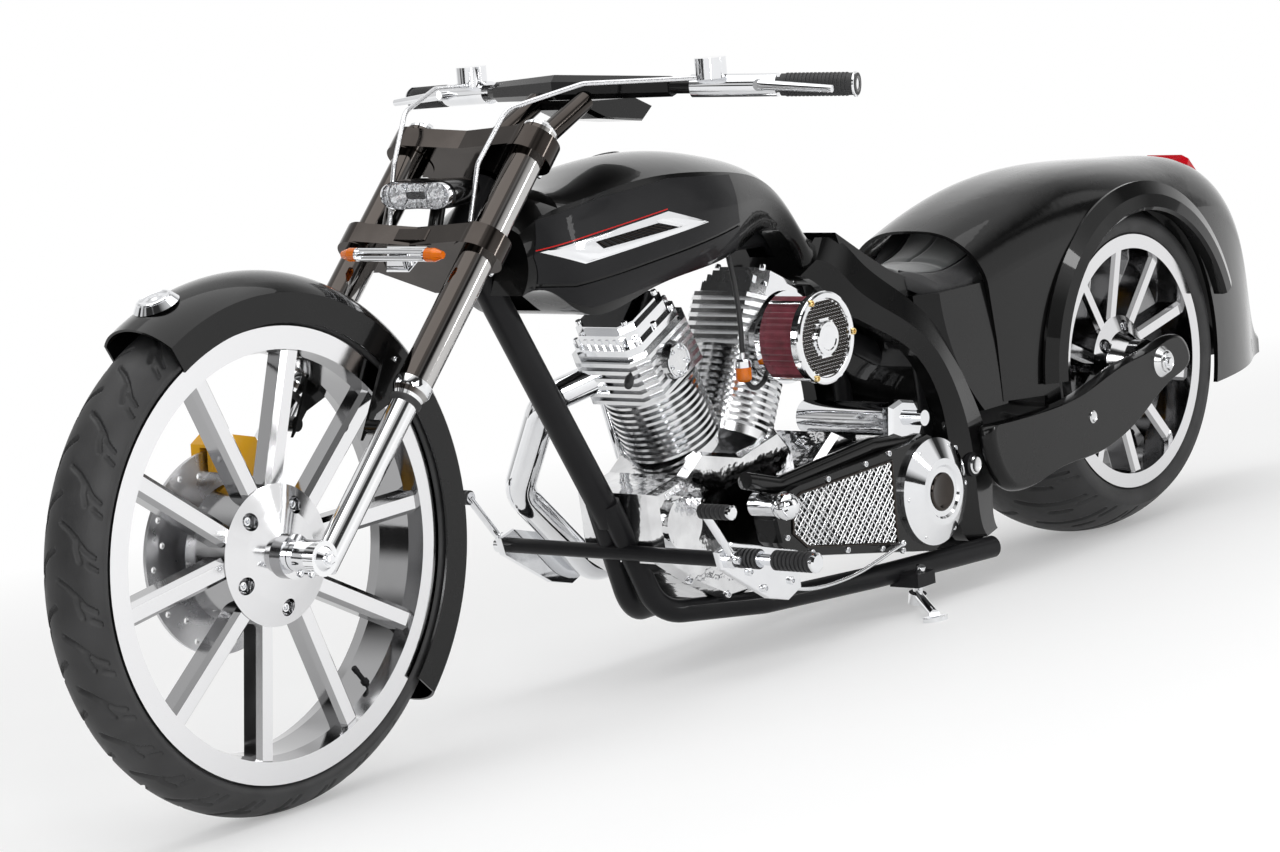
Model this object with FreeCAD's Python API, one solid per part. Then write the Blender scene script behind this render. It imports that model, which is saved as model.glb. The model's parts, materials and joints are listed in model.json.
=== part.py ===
import FreeCAD, Part
import functools
import math
import os

# A long, low chopper with a single downtube, an open V-twin, a 26 inch front wheel,
# a 300 mm rear tyre under a boat-tailed fender, and a side stand that it leans on.
# Every form is drawn on the upright machine: x runs forward from the rear axle,
# y to the left and z up from the ground. The finished pieces are then leaned onto
# the side stand and moved so that the origin is below the middle of the machine.

V = FreeCAD.Vector

# Stance
wheelbase = 2226.0
lean = 7.0
rake = 44.5
fork_reach = 785.0
leg_offset = 60.0
axle_lead = 24.0
leg_spacing = 250.0
wheel_fit = 0.05
seat_gap = 0.3

# Front wheel
front_tyre_r = 398.0
front_tyre_w = 122.0
front_crown_r = 66.0
front_rim_r = 345.0
front_rim_w = 114.0
front_rim_face = 35.0
front_axle_r = 12.5
front_hub_r = 108.0
front_hub_w = 172.0
front_boss_r = 34.0
front_hub_face = 46.0
front_spoke_w = 35.0
front_spoke_face = 51.0
front_spoke_depth = 40.0
front_phase = 5.0

# Rear wheel
rear_tyre_r = 335.0
rear_tyre_w = 300.0
rear_crown_r = 220.0
rear_rim_r = 244.0
rear_rim_w = 288.0
rear_rim_face = 27.0
rear_axle_r = 15.0
rear_hub_r = 88.0
rear_hub_w = 344.0
rear_boss_r = 42.0
rear_hub_face = 112.0
rear_spoke_w = 30.0
rear_spoke_face = 134.0
rear_spoke_depth = 54.0
rear_phase = 20.0

# Both wheels
tyre_wall = 11.0
rim_flange = 6.0
rim_wall = 9.0
spoke_pairs = 5
spoke_inner_spread = 12.0
spoke_outer_spread = 18.5
pocket_r = 15.0
pocket_depth = 8.0

# Brakes
front_rotor_r = 158.0
front_rotor_y = -73.0
front_rotor_t = 6.0
rear_rotor_r = 140.0
rear_rotor_y = -166.0
rear_rotor_t = 6.0
rotor_gap = 5.0
rotor_holes = 12
rotor_hole_r = 5.0

# Fork
upper_tube_r = 28.5
upper_tube_end = 469.0
lower_tube_r = 21.5
leg_top = 34.0
clamp_t = 40.0
lower_clamp_s = 192.0
clamp_wall = 13.0
clamp_step = 2.0
clamp_bow = 12.0
stem_collar = 38.0
swing_gap = 7.0
steer_limit = 24.0
stem_r = 16.0
neck_r = 30.0
neck_gap = 3.0
lug_r = 27.0
lug_w = 44.0

# Handlebar, placed from the top of the fork
bar_back = 179.0
bar_rise = 120.5
bar_half = 483.0
bar_pullback = 171.0
bar_drop = 25.0
bar_r = 12.7
bar_end_bore_r = 9.0
bar_end_depth = 40.0
beam_h = 42.0
beam_w = 34.0
beam_half = 190.0
grip_r = 18.0
grip_length = 120.0
riser_y = 52.0
riser_r = 17.0
perch_r = 19.0
lever_gap = 43.0
lever_r = 6.0
cable_r = 4.0

# Headlamp and turn signals
lamp_ahead = 188.0
lamp_drop = 12.0
lamp_half = 73.0
lamp_h = 36.0
lamp_depth = 12.0
housing_depth = 95.0
reflector_r = 18.0
reflector_y = 40.0
reflector_depth = 18.0
signal_drop = 52.0
signal_ahead = 22.0
signal_y = 75.0
signal_w = 32.0

# Frame
downtube_r = 25.0
rail_r = 20.0
rail_z = 94.0
rail_rear_y = 178.0
backbone_r = 22.0
backbone_drop = 171.0
knee_ahead = 254.0
knee_rise = 40.0
seat_joint_x = 620.0
seat_joint_z = 447.0
rail_end_x = 585.0
arm_pivot_x = 600.0
arm_pivot_z = 245.0

# Engine
crank_x = 1150.0
crank_z = 250.0
vee_half_angle = 26.0
bore_r = 62.0
fin_r = 84.0
fin_count = 11
fin_t = 5.0
barrel_start = 140.0
barrel_length = 150.0
barrel_base = 16.0
head_length = 92.0
head_half = 84.0
head_core = 66.0
head_fins = 6
rocker_half = 74.0
rocker_base = 16.0
rocker_h = 34.0
rocker_ribs = 7
pipe_r = 27.0
pipe_y = 205.0
pipe_z = 150.0
silencer_r = 48.0
silencer_length = 470.0

# Bodywork
tank_tail_x = 864.0
tank_tail_z = 662.0
tank_nose_ahead = 52.0
tank_nose_drop = 134.5
tunnel_w = 56.0
panel_t = 2.5
trim_t = 5.5
groove_w = 6.0
seat_pad = 50.0
fender_t = 4.0
front_fender_r = 428.0
front_fender_half = 72.0
front_fender_skirt = 350.0
rear_fender_half = 177.0
rear_fender_t = 8.0
arch_r = 290.0
flare_w = 56.0
flare_y = 192.0
flare_front = 88.0
flare_sweep = 160.0
arm_y = 181.0
arm_t = 30.0

# Primary drive on the left
primary_y = 130.0
primary_w = 52.0
clutch_x = 738.0
clutch_z = 222.0
clutch_r = 96.0
filter_back = 95.0
filter_rise = 8.0
filter_y = 136.0
filter_r = 70.0
filter_w = 64.0
filter_pleats = 36

# Foot controls
control_x = 250.0
control_drop = 15.0
control_y = 232.0
control_t = 14.0

# Stand
stand_x = 815.0
stand_y = 196.0
stand_z = 80.0
stand_reach = 125.0
stand_out = 120.0
stand_r = 9.0
stand_foot_r = 22.0
stand_foot_t = 7.0
stand_drop = 36.0
stand_folded = (-165.0, 6.0, 6.0)

# Places worked out from the sizes above
tilt = math.radians(lean)
rake_angle = math.radians(rake)
front_axle_z = front_tyre_r + front_crown_r * (1.0 / math.cos(tilt) - 1.0)
rear_axle_z = rear_tyre_r + rear_crown_r * (1.0 / math.cos(tilt) - 1.0)
front_axle = V(wheelbase, 0, front_axle_z)
rear_axle = V(0, 0, rear_axle_z)
leg_dir = V(math.sin(rake_angle), 0, -math.cos(rake_angle))
leg_out = V(math.cos(rake_angle), 0, math.sin(rake_angle))
fork_top = front_axle - leg_dir * fork_reach - leg_out * (leg_offset + axle_lead)
leg_y = leg_spacing / 2.0
across = V(0, 1, 0)
tank_tail = V(tank_tail_x, 0, tank_tail_z)
tank_nose = fork_top + V(tank_nose_ahead, 0, -tank_nose_drop)
backbone_z = fork_top.z - backbone_drop
front_hub_end = front_hub_w / 2.0
rear_hub_end = rear_hub_w / 2.0
filter_x = crank_x - filter_back
filter_z = crank_z + barrel_start + barrel_length + filter_rise
head_middle = barrel_start + barrel_length + head_length / 2.0


def fork_point(s, u, y=0.0):
    """A point s down the steering axis, u ahead of it and y to the left."""
    return fork_top + leg_dir * s + leg_out * u + across * y


def crank_point(side, distance, off=0.0, y=0.0):
    """A point up the front (1) or rear (-1) cylinder axis."""
    a = math.radians(vee_half_angle) * side
    up = V(math.sin(a), 0, math.cos(a))
    ahead = V(math.cos(a), 0, -math.sin(a))
    return V(crank_x, y, crank_z) + up * distance + ahead * off


def about(x, z, offsets):
    """An outline given by offsets from one point of the driveline."""
    return [(x + a, z + b) for a, b in offsets]


def cylinder(start, end, radius):
    axis = end - start
    return Part.makeCylinder(radius, axis.Length, start, axis)


def cone(start, end, radius_a, radius_b):
    axis = end - start
    return Part.makeCone(radius_a, radius_b, axis.Length, start, axis)


def face_of(points):
    return Part.Face(Part.makePolygon(points + [points[0]]))


def side_prism(points, y0, y1):
    """A closed outline of (x, z) points, extruded from y0 to y1."""
    return face_of([V(x, y0, z) for x, z in points]).extrude(V(0, y1 - y0, 0))


def bevelled_prism(points, y0, y1, bevel, share):
    """The same, with both ends drawn in towards the middle of the outline over the bevel."""
    mid_x = sum(x for x, z in points) / len(points)
    mid_z = sum(z for x, z in points) / len(points)
    small = [(mid_x + (x - mid_x) * share, mid_z + (z - mid_z) * share) for x, z in points]
    levels = ((small, y0), (points, y0 + bevel), (points, y1 - bevel), (small, y1))
    return loft([[V(x, y, z) for x, z in outline] for outline, y in levels], True)


def fork_prism(points, s0, s1):
    """A closed outline of (u, y) points square to the legs, from s0 to s1."""
    return face_of([fork_point(s0, u, y) for u, y in points]).extrude(leg_dir * (s1 - s0))


def loft(sections, ruled=False):
    wires = [Part.makePolygon(points + [points[0]]) for points in sections]
    return Part.makeLoft(wires, True, ruled)


def section(runs):
    """A closed wire of straight runs (2 points) and smooth runs (3 points or more)."""
    edges = []
    for run in runs:
        if len(run) == 2:
            edges.append(Part.makeLine(run[0], run[1]))
        else:
            curve = Part.BSplineCurve()
            curve.interpolate(run)
            edges.append(curve.toShape())
    return Part.Wire(edges)


def ring(points):
    """One smooth closed wire through the points."""
    curve = Part.BSplineCurve()
    curve.interpolate(Points=points, PeriodicFlag=True)
    return Part.Wire(curve.toShape())


def skin_loft(wires, ruled=False):
    return Part.makeLoft(wires, True, ruled)


def fuse(shapes):
    whole = shapes[0].multiFuse(shapes[1:]) if len(shapes) > 1 else shapes[0]
    return whole.removeSplitter()


def largest(shape):
    """The main solid of a trimmed piece."""
    return max(shape.Solids, key=lambda solid: solid.Volume)


def mirrored(shape):
    return shape.mirror(V(0, 0, 0), across)


def both_sides(shape):
    return Part.makeCompound([shape, mirrored(shape)])


def lathe(profile, centre):
    """A profile of (y, r) points turned about the line through centre along y."""
    wire = Part.makePolygon([centre + V(0, y, r) for y, r in profile + [profile[0]]])
    return Part.Face(wire).revolve(centre, across, 360)


def turned(shape, centre, degrees):
    copy = shape.copy()
    copy.rotate(centre, across, degrees)
    return copy


def corner_arc(before, corner, after, radius):
    """The arc that rounds a corner of a path."""
    a = (before - corner).normalize()
    b = (after - corner).normalize()
    half = a.getAngle(b) / 2.0
    reach = radius / math.tan(half)
    middle = (a + b).normalize()
    centre = corner + middle * (radius / math.sin(half))
    return Part.Arc(corner + a * reach, centre - middle * radius, corner + b * reach)


def path(points, radius):
    """Straight runs joined by tangent arcs of one radius."""
    edges = []
    at = points[0]
    for before, corner, after in zip(points, points[1:], points[2:]):
        arc = corner_arc(before, corner, after, radius)
        edges.append(Part.LineSegment(at, arc.StartPoint).toShape())
        edges.append(arc.toShape())
        at = arc.EndPoint
    edges.append(Part.LineSegment(at, points[-1]).toShape())
    return Part.Wire(edges)


def tube(points, radius, bend):
    """A round bar along straight runs and bends."""
    if len(points) == 2:
        return cylinder(points[0], points[1], radius)
    spine = path(points, bend)
    ring = Part.Wire(Part.makeCircle(radius, points[0], points[1] - points[0]))
    return spine.makePipeShell([ring], True, False)


def tyre(centre, outer_r, crown_r, half_w, rim_r, rim_half):
    """A hollow tyre: round crown, rounded wall and a bead inside each rim flange."""
    bead_y = rim_half - rim_flange - seat_gap
    bead_r = rim_r - rim_wall * 1.5 + seat_gap
    crown = outer_r - crown_r
    shoulder = crown + math.sqrt(crown_r ** 2 - half_w ** 2)
    inner_w = bead_y - tyre_wall
    inner_r = crown + math.sqrt((crown_r - tyre_wall) ** 2 - inner_w ** 2)

    def at(y, r):
        return centre + V(0, y, r)

    outer = Part.Arc(at(-half_w, shoulder), at(0, outer_r), at(half_w, shoulder))
    inner = Part.Arc(at(inner_w, inner_r), at(0, outer_r - tyre_wall), at(-inner_w, inner_r))
    edges = [outer.toShape()]
    edges.append(Part.makeLine(at(half_w, shoulder), at(bead_y, rim_r)))
    edges.append(Part.makeLine(at(bead_y, rim_r), at(bead_y, bead_r)))
    edges.append(Part.makeLine(at(bead_y, bead_r), at(inner_w, bead_r)))
    edges.append(Part.makeLine(at(inner_w, bead_r), at(inner_w, inner_r)))
    edges.append(inner.toShape())
    edges.append(Part.makeLine(at(-inner_w, inner_r), at(-inner_w, bead_r)))
    edges.append(Part.makeLine(at(-inner_w, bead_r), at(-bead_y, bead_r)))
    edges.append(Part.makeLine(at(-bead_y, bead_r), at(-bead_y, rim_r)))
    edges.append(Part.makeLine(at(-bead_y, rim_r), at(-half_w, shoulder)))
    return Part.Face(Part.Wire(edges)).revolve(centre, across, 360)


def rim(rim_r, half_w, face):
    """Rim section of (y, r) points, from flange to flange over the drop centre."""
    seat_y = half_w - rim_flange
    seat_r = rim_r - rim_wall * 1.5
    inner = rim_r - face
    well = seat_r - rim_wall
    right = [(half_w, rim_r), (half_w, inner), (half_w * 0.55, inner - 6.0)]
    left = [(-y, r) for y, r in reversed(right)]
    seat = [(-seat_y, rim_r), (-seat_y, seat_r), (-seat_y * 0.5, well)]
    return right + left + seat + [(-y, r) for y, r in reversed(seat)]


def spoke(inner, outer, width, depth):
    """A bevelled spoke between two (radius, angle, face) ends, with the wheel axis along y."""
    ends = []
    for radius, angle, face in (inner, outer):
        a = math.radians(angle)
        ends.append(V(radius * math.sin(a), face - depth / 2.0, radius * math.cos(a)))
    run = V(ends[1].x - ends[0].x, 0, ends[1].z - ends[0].z).normalize()
    side = run.cross(across)
    half = width / 2.0
    deep = depth / 2.0
    bevel = width * 0.2
    shape = [(half, deep - bevel), (half - bevel, deep), (bevel - half, deep), (-half, deep - bevel)]
    shape += [(-a, -b) for a, b in shape]
    return loft([[end + side * a + across * b for a, b in shape] for end in ends], True)


def wheel(centre, rim_r, rim_half, face, hub_r, hub_face, boss_r, hub_end, bore, width, depth,
          spoke_face, phase):
    """A billet wheel: rim, hub with bolt pockets, and pairs of spokes that open towards the left."""
    back = hub_end * 0.45
    hub = [(-hub_end, bore + wheel_fit), (-hub_end, boss_r), (22.0 - hub_end, boss_r)]
    hub += [(-back - 10.0, hub_r * 0.66), (-back, hub_r), (hub_face, hub_r)]
    hub += [(hub_face + 10.0, hub_r * 0.66), (hub_end - 22.0, boss_r), (hub_end, boss_r)]
    hub.append((hub_end, bore + wheel_fit))
    pieces = [lathe(rim(rim_r, rim_half, face), V(0, 0, 0)), lathe(hub, V(0, 0, 0))]
    inner_r = hub_r - 16.0
    outer_r = rim_r - face + 3.0
    for k in range(spoke_pairs):
        for side in (-1, 1):
            one = spoke((inner_r, side * spoke_inner_spread, hub_face - 2.0),
                        (outer_r, side * spoke_outer_spread, spoke_face), width, depth)
            pieces.append(turned(one, V(0, 0, 0), phase + k * 360.0 / spoke_pairs))
    pockets = []
    for k in range(spoke_pairs):
        a = math.radians(phase + (k + 0.5) * 360.0 / spoke_pairs)
        at = V(hub_r * 0.76 * math.sin(a), hub_face, hub_r * 0.76 * math.cos(a))
        pockets.append(cone(at - across * pocket_depth, at + across * 14.0, pocket_r * 0.7, pocket_r))
    whole = fuse(pieces).cut(Part.makeCompound(pockets))
    whole.translate(centre)
    return whole


def front_tyre():
    return tyre(front_axle, front_tyre_r, front_crown_r, front_tyre_w / 2.0 - 1.0,
                front_rim_r, front_rim_w / 2.0)


def rear_tyre():
    return tyre(rear_axle, rear_tyre_r, rear_crown_r, rear_tyre_w / 2.0,
                rear_rim_r, rear_rim_w / 2.0)


def front_rim():
    return wheel(front_axle, front_rim_r, front_rim_w / 2.0, front_rim_face, front_hub_r,
                 front_hub_face, front_boss_r, front_hub_end, front_axle_r, front_spoke_w,
                 front_spoke_depth, front_spoke_face, front_phase)


def rear_rim():
    return wheel(rear_axle, rear_rim_r, rear_rim_w / 2.0, rear_rim_face, rear_hub_r,
                 rear_hub_face, rear_boss_r, rear_hub_end, rear_axle_r, rear_spoke_w,
                 rear_spoke_depth, rear_spoke_face, rear_phase)


def disc(centre, radius, hole, y, thickness):
    start = centre + V(0, y - thickness / 2.0, 0)
    plate = Part.makeCylinder(radius, thickness, start, across)
    return plate.cut(Part.makeCylinder(hole, thickness, start, across))


def rotor(centre, radius, hole, y, thickness):
    """A brake disc with two rows of drilled holes."""
    drills = []
    for row, at_r in enumerate((radius - 14.0, radius - 32.0)):
        for k in range(rotor_holes):
            a = math.radians((k + row / 2.0) * 360.0 / rotor_holes)
            start = centre + V(at_r * math.sin(a), y - thickness, at_r * math.cos(a))
            drills.append(Part.makeCylinder(rotor_hole_r, 2.0 * thickness, start, across))
    return disc(centre, radius, hole, y, thickness).cut(Part.makeCompound(drills))


def front_rotor():
    return rotor(front_axle, front_rotor_r, front_boss_r + seat_gap, front_rotor_y, front_rotor_t)


def rear_rotor():
    return rotor(rear_axle, rear_rotor_r, rear_boss_r + seat_gap, rear_rotor_y, rear_rotor_t)


def fork_leg(side):
    """One inverted fork leg with its axle lug."""
    y = side * leg_y
    top = fork_point(-leg_top, leg_offset, y)
    end = fork_point(upper_tube_end, leg_offset, y)
    foot = fork_point(fork_reach, leg_offset, y)
    taper = fork_point(upper_tube_end + 14.0, leg_offset, y)
    lug_in = front_axle + across * (y - side * lug_w / 2.0)
    lug_out = front_axle + across * (y + side * lug_w / 2.0)
    lug = cylinder(lug_in, lug_out, lug_r)
    leg = fuse([cylinder(top, end, upper_tube_r), cone(end, taper, upper_tube_r, lower_tube_r),
                cylinder(end, foot, lower_tube_r), lug])
    bore = cylinder(front_axle + across * (y - lug_w), front_axle + across * (y + lug_w), front_axle_r)
    return leg.cut(bore)


@functools.lru_cache(maxsize=None)
def clamp(s_mid):
    """One clamp: a collar round each leg and the stem, bridged by a plate with a bowed front."""
    collar = upper_tube_r + clamp_wall
    s0 = s_mid - clamp_t / 2.0
    s1 = s_mid + clamp_t / 2.0
    back = leg_offset - collar
    front = leg_offset + collar
    plate = [(back, -leg_y), (-stem_collar, -stem_collar), (-stem_collar, stem_collar), (back, leg_y),
             (front, leg_y), (front - clamp_bow, 0.0), (front, -leg_y)]
    pieces = [fork_prism(plate, s0 + clamp_step, s1 - clamp_step)]
    for side in (-1, 1):
        pieces.append(cylinder(fork_point(s0, leg_offset, side * leg_y),
                               fork_point(s1, leg_offset, side * leg_y), collar))
    return fuse(pieces)


@functools.lru_cache(maxsize=None)
def triple_clamps():
    """Upper and lower clamp, joined by the steering stem."""
    whole = fuse([clamp(0.0), clamp(lower_clamp_s),
                  cylinder(fork_point(-clamp_t * 0.8, 0), fork_point(lower_clamp_s, 0), stem_r)])
    for side in (-1, 1):
        hole = cylinder(fork_point(-100.0, leg_offset, side * leg_y),
                        fork_point(400.0, leg_offset, side * leg_y), upper_tube_r)
        whole = whole.cut(hole)
    return whole


def bar_point(y, drop=0.0):
    """A point on the centre line of the handlebar's left half."""
    share = y / bar_half
    return fork_top + V(-bar_back - bar_pullback * share, y, bar_rise - bar_drop * share - drop)


def bar_section(y, width, height):
    centre = bar_point(y)
    w = width / 2.0
    h = height / 2.0
    return [centre + V(a, 0, b) for a, b in ((w, h * 0.5), (w * 0.4, h), (-w, h * 0.6),
                                             (-w, -h * 0.6), (w * 0.4, -h), (w, -h * 0.5))]


@functools.lru_cache(maxsize=None)
def handlebar():
    """A flat-sided beam that runs out into round ends."""
    half = [loft([bar_section(0.0, beam_w, beam_h), bar_section(beam_half, beam_w, beam_h * 0.8)], True)]
    half.append(cylinder(bar_point(beam_half - 20.0), bar_point(bar_half), bar_r))
    half = fuse(half)
    tip = bar_point(bar_half)
    end = (tip - bar_point(beam_half)).normalize()
    half = half.cut(cylinder(tip - end * bar_end_depth, tip + end, bar_end_bore_r))
    return fuse([half, mirrored(half)])


@functools.lru_cache(maxsize=None)
def risers():
    """The pull-back risers between upper clamp and beam."""
    legs = []
    for side in (-1, 1):
        foot = fork_point(-clamp_t / 2.0, 8.0, side * riser_y)
        top = bar_point(riser_y) + V(beam_w / 2.0, 0, -beam_h / 2.0)
        top = V(top.x, side * riser_y, top.z)
        legs.append(cylinder(foot, top, riser_r))
    beam = fuse([handlebar(), clamp(0.0)])
    return Part.makeCompound([leg.cut(beam) for leg in legs])


def grips():
    inner = bar_point(bar_half - grip_length)
    outer = bar_point(bar_half)
    cover = cylinder(inner, outer, grip_r).cut(cylinder(inner, outer, bar_r))
    return both_sides(cover)


@functools.lru_cache(maxsize=None)
def bar_controls():
    """Lever, perch and reservoir on each side of the bar."""
    perch_in = bar_point(beam_half + 30.0)
    perch_out = bar_point(bar_half - grip_length - 6.0)
    perch = cylinder(perch_in, perch_out, perch_r).cut(cylinder(perch_in, perch_out, bar_r))
    pot_low = bar_point(beam_half + 70.0) + V(14.0, 0, perch_r - 6.0)
    pot = cylinder(pot_low, pot_low + V(0, 0, 34.0), 26.0)
    lever_root = perch_out + V(lever_gap - 7.0, -10.0, 4.0)
    lever_tip = bar_point(bar_half - 8.0) + V(lever_gap + 13.0, 0, -2.0)
    lever = cone(lever_root, lever_tip, lever_r * 1.4, lever_r)
    arm = cylinder(lever_root - V(lever_gap - 3.0, 8.0, 4.0), lever_root + V(4.0, 0, 0), perch_r / 2.0)
    arm = arm.cut(cylinder(perch_in, perch_out, bar_r))
    return both_sides(fuse([perch, pot, arm, lever]).cut(handlebar()))


def gauge_pod():
    """The faceted instrument pod behind the beam."""
    at = bar_point(0.0, beam_h / 2.0)
    outline = about(at.x, at.z, [(6.0, -seat_gap), (-130.0, -8.0), (-180.0, -30.0), (-150.0, -52.0),
                                 (-40.0, -36.0), (4.0, -16.0)])
    pod = bevelled_prism(outline, -58.0, 58.0, 12.0, 0.85)
    return largest(pod.cut(risers()).cut(handlebar()))


def lamp_ring(x, scale):
    """The figure-eight outline of the headlamp, as one smooth ring."""
    centre = fork_top + V(x, 0, -lamp_drop)
    points = []
    for k in range(24):
        a = 2.0 * math.pi * k / 24
        waist = 0.78 - 0.22 * math.cos(a * 2.0 + math.pi)
        points.append(centre + V(0, lamp_half * scale * math.cos(a), lamp_h * scale * waist * math.sin(a)))
    return ring(points)


def headlight_housing():
    """The pointed housing between the legs with its two reflector bowls, on a foot from the lower clamp."""
    front = lamp_ahead - lamp_depth
    shell = skin_loft([lamp_ring(front, 1.08), lamp_ring(front - housing_depth * 0.55, 1.0),
                       lamp_ring(front - housing_depth, 0.6)])
    bowls = []
    for y in (-reflector_y, reflector_y):
        mouth = fork_top + V(front, y, -lamp_drop)
        bottom = mouth - V(reflector_depth, 0, 0)
        bowls.append(cone(bottom, mouth + V(1.0, 0, 0), reflector_r * 0.35, reflector_r))
    shell = shell.cut(Part.makeCompound(bowls))
    foot_top = fork_top + V(front - housing_depth * 0.5, 0, -lamp_drop - 8.0)
    foot = cylinder(fork_point(lower_clamp_s - clamp_t / 2.0, neck_r + 18.0), foot_top, 12.0)
    return fuse([shell, foot]).cut(triple_clamps())


def headlight_lens():
    front = lamp_ahead
    return skin_loft([lamp_ring(front - lamp_depth + seat_gap, 1.0), lamp_ring(front - 4.0, 0.97),
                      lamp_ring(front, 0.84)])


def signal_centre():
    return fork_point(lower_clamp_s + signal_drop, leg_offset + upper_tube_r + signal_ahead)


def signal_bar():
    """The pair of rods under the lower clamp that carries the turn signals."""
    centre = signal_centre()
    pieces = []
    for z in (-6.0, 6.0):
        middle = centre + V(0, 0, z)
        pieces.append(cylinder(middle - across * signal_y, middle + across * signal_y, 4.5))
    for side in (-1, 1):
        out = across * signal_y * side
        pieces.append(cylinder(centre + out * 0.96, centre + out, 11.0))
    foot = fork_point(lower_clamp_s + clamp_t / 2.0 - clamp_step, leg_offset + 14.0)
    pieces.append(cylinder(centre, foot, 7.0))
    return fuse(pieces).cut(triple_clamps())


def turn_signals():
    """The amber lenses, tapered towards their outer ends."""
    start = signal_centre() + across * (signal_y + seat_gap)
    middle = start + across * signal_w * 0.5
    return both_sides(fuse([cylinder(start, middle, 11.0),
                            cone(middle, start + across * signal_w, 11.0, 6.0)]))


@functools.lru_cache(maxsize=None)
def front_fender():
    """A crowned strip over the front tyre with deep sides."""
    half = front_fender_half
    top = front_fender_r
    shoulder = top - 33.0
    skirt = front_fender_skirt
    inner = half - fender_t
    centre = front_axle
    outer_arc = Part.Arc(centre + V(0, half, shoulder), centre + V(0, 0, top),
                         centre + V(0, -half, shoulder))
    inner_arc = Part.Arc(centre + V(0, -inner, shoulder - 1.0), centre + V(0, 0, top - fender_t),
                         centre + V(0, inner, shoulder - 1.0))
    edges = [outer_arc.toShape()]
    for a, b in (((-half, shoulder), (-half, skirt)), ((-half, skirt), (-inner, skirt)),
                 ((-inner, skirt), (-inner, shoulder - 1.0))):
        edges.append(Part.makeLine(centre + V(0, a[0], a[1]), centre + V(0, b[0], b[1])))
    edges.append(inner_arc.toShape())
    for a, b in (((inner, shoulder - 1.0), (inner, skirt)), ((inner, skirt), (half, skirt)),
                 ((half, skirt), (half, shoulder))):
        edges.append(Part.makeLine(centre + V(0, a[0], a[1]), centre + V(0, b[0], b[1])))
    strip = Part.Face(Part.Wire(edges)).revolve(centre, across, 163)
    strip.rotate(centre, across, -134)
    return strip


def turned_point(arm, degrees):
    """The end of an arm from the front axle, turned about it."""
    a = math.radians(degrees)
    return front_axle + V(arm.x * math.cos(a) + arm.z * math.sin(a), 0,
                          arm.z * math.cos(a) - arm.x * math.sin(a))


def lower_tube(side):
    return cylinder(fork_point(upper_tube_end, leg_offset, side * leg_y),
                    fork_point(fork_reach, leg_offset, side * leg_y), lower_tube_r)


def fender_struts():
    """The brackets that tie the front fender to the legs."""
    a = fork_point(upper_tube_end + 40.0, leg_offset)
    b = fork_point(upper_tube_end + 90.0, leg_offset)
    rise = (a - front_axle).normalize() * (front_fender_skirt + 30.0)
    top_a = turned_point(rise, -6.0)
    top_b = turned_point(rise, 8.0)
    inner_y = front_fender_half + 6.0
    plate = side_prism([(a.x, a.z), (b.x, b.z), (top_b.x, top_b.z), (top_a.x, top_a.z)],
                       front_fender_half + seat_gap, inner_y)
    boss = a + leg_dir * 25.0
    boss = cylinder(boss + across * inner_y, boss + across * leg_y, 12.0)
    return both_sides(fuse([plate, boss]).cut(lower_tube(1)))


def fender_badge():
    """The plain round ornament near the fender's tip."""
    base = turned_point(V(0, 0, front_fender_r - 1.0), 20.0)
    top = turned_point(V(0, 0, front_fender_r + 9.0), 20.0)
    disc_solid = cone(base, top, 36.0, 28.0)
    return disc_solid.cut(front_fender())


def front_axle_pin():
    """The front axle with its spacers and end caps."""
    end = leg_y + lug_w / 2.0
    pin = cylinder(front_axle - across * end, front_axle + across * end, front_axle_r)
    spacer = cylinder(front_axle + across * (front_hub_end + 1.0),
                      front_axle + across * (leg_y - lug_w / 2.0), front_axle_r * 1.7)
    cap = cone(front_axle + across * end, front_axle + across * (end + 9.0), 19.0, 13.0)
    return fuse([pin, spacer, mirrored(spacer), cap, mirrored(cap)])


def caliper_block(centre, rotor_r, rotor_y, rotor_t, radial, inner_y, outer_y):
    """A caliper that straddles a disc, in the direction radial from the axle."""
    arm = radial * (rotor_r - 14.0)
    side = radial.cross(across)
    points = [centre + arm + radial * a + side * b for a, b in
              ((-26.0, -48.0), (-26.0, 48.0), (14.0, 56.0), (34.0, 36.0), (34.0, -36.0), (14.0, -56.0))]
    block = face_of([V(p.x, inner_y, p.z) for p in points]).extrude(V(0, outer_y - inner_y, 0))
    slot = disc(centre, rotor_r + rotor_gap, 30.0, rotor_y, rotor_t + 2.0 * rotor_gap)
    return block.cut(slot)


def front_caliper():
    """The front brake caliper on the back of the right leg."""
    radial = V(-0.25, 0, 0.97).normalize()
    block = caliper_block(front_axle, front_rotor_r, front_rotor_y, front_rotor_t,
                          radial, -100.0, -56.0)
    mount = cylinder(front_axle + radial * 150.0 + across * -100.0,
                     fork_point(fork_reach - 150.0, leg_offset, -leg_y), 11.0)
    return fuse([block, mount]).cut(lower_tube(-1))


@functools.lru_cache(maxsize=None)
def cables():
    """The control lines, from each lever down behind the headlamp."""
    start = bar_point(beam_half + 60.0) + V(38.0, 0, 16.0)
    points = [start, fork_top + V(-56.0, 160.0, 135.0), fork_top + V(74.0, 110.0, 110.0),
              fork_top + V(132.0, 90.0, 30.0), fork_point(lower_clamp_s, 50.0, 86.0)]
    line = tube(points, cable_r, 10.0 * cable_r)
    return both_sides(largest(line.cut(bar_controls()).cut(triple_clamps())))


def neck():
    return cylinder(fork_point(clamp_t / 2.0 + neck_gap, 0),
                    fork_point(lower_clamp_s - clamp_t / 2.0 - neck_gap, 0), neck_r)


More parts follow.
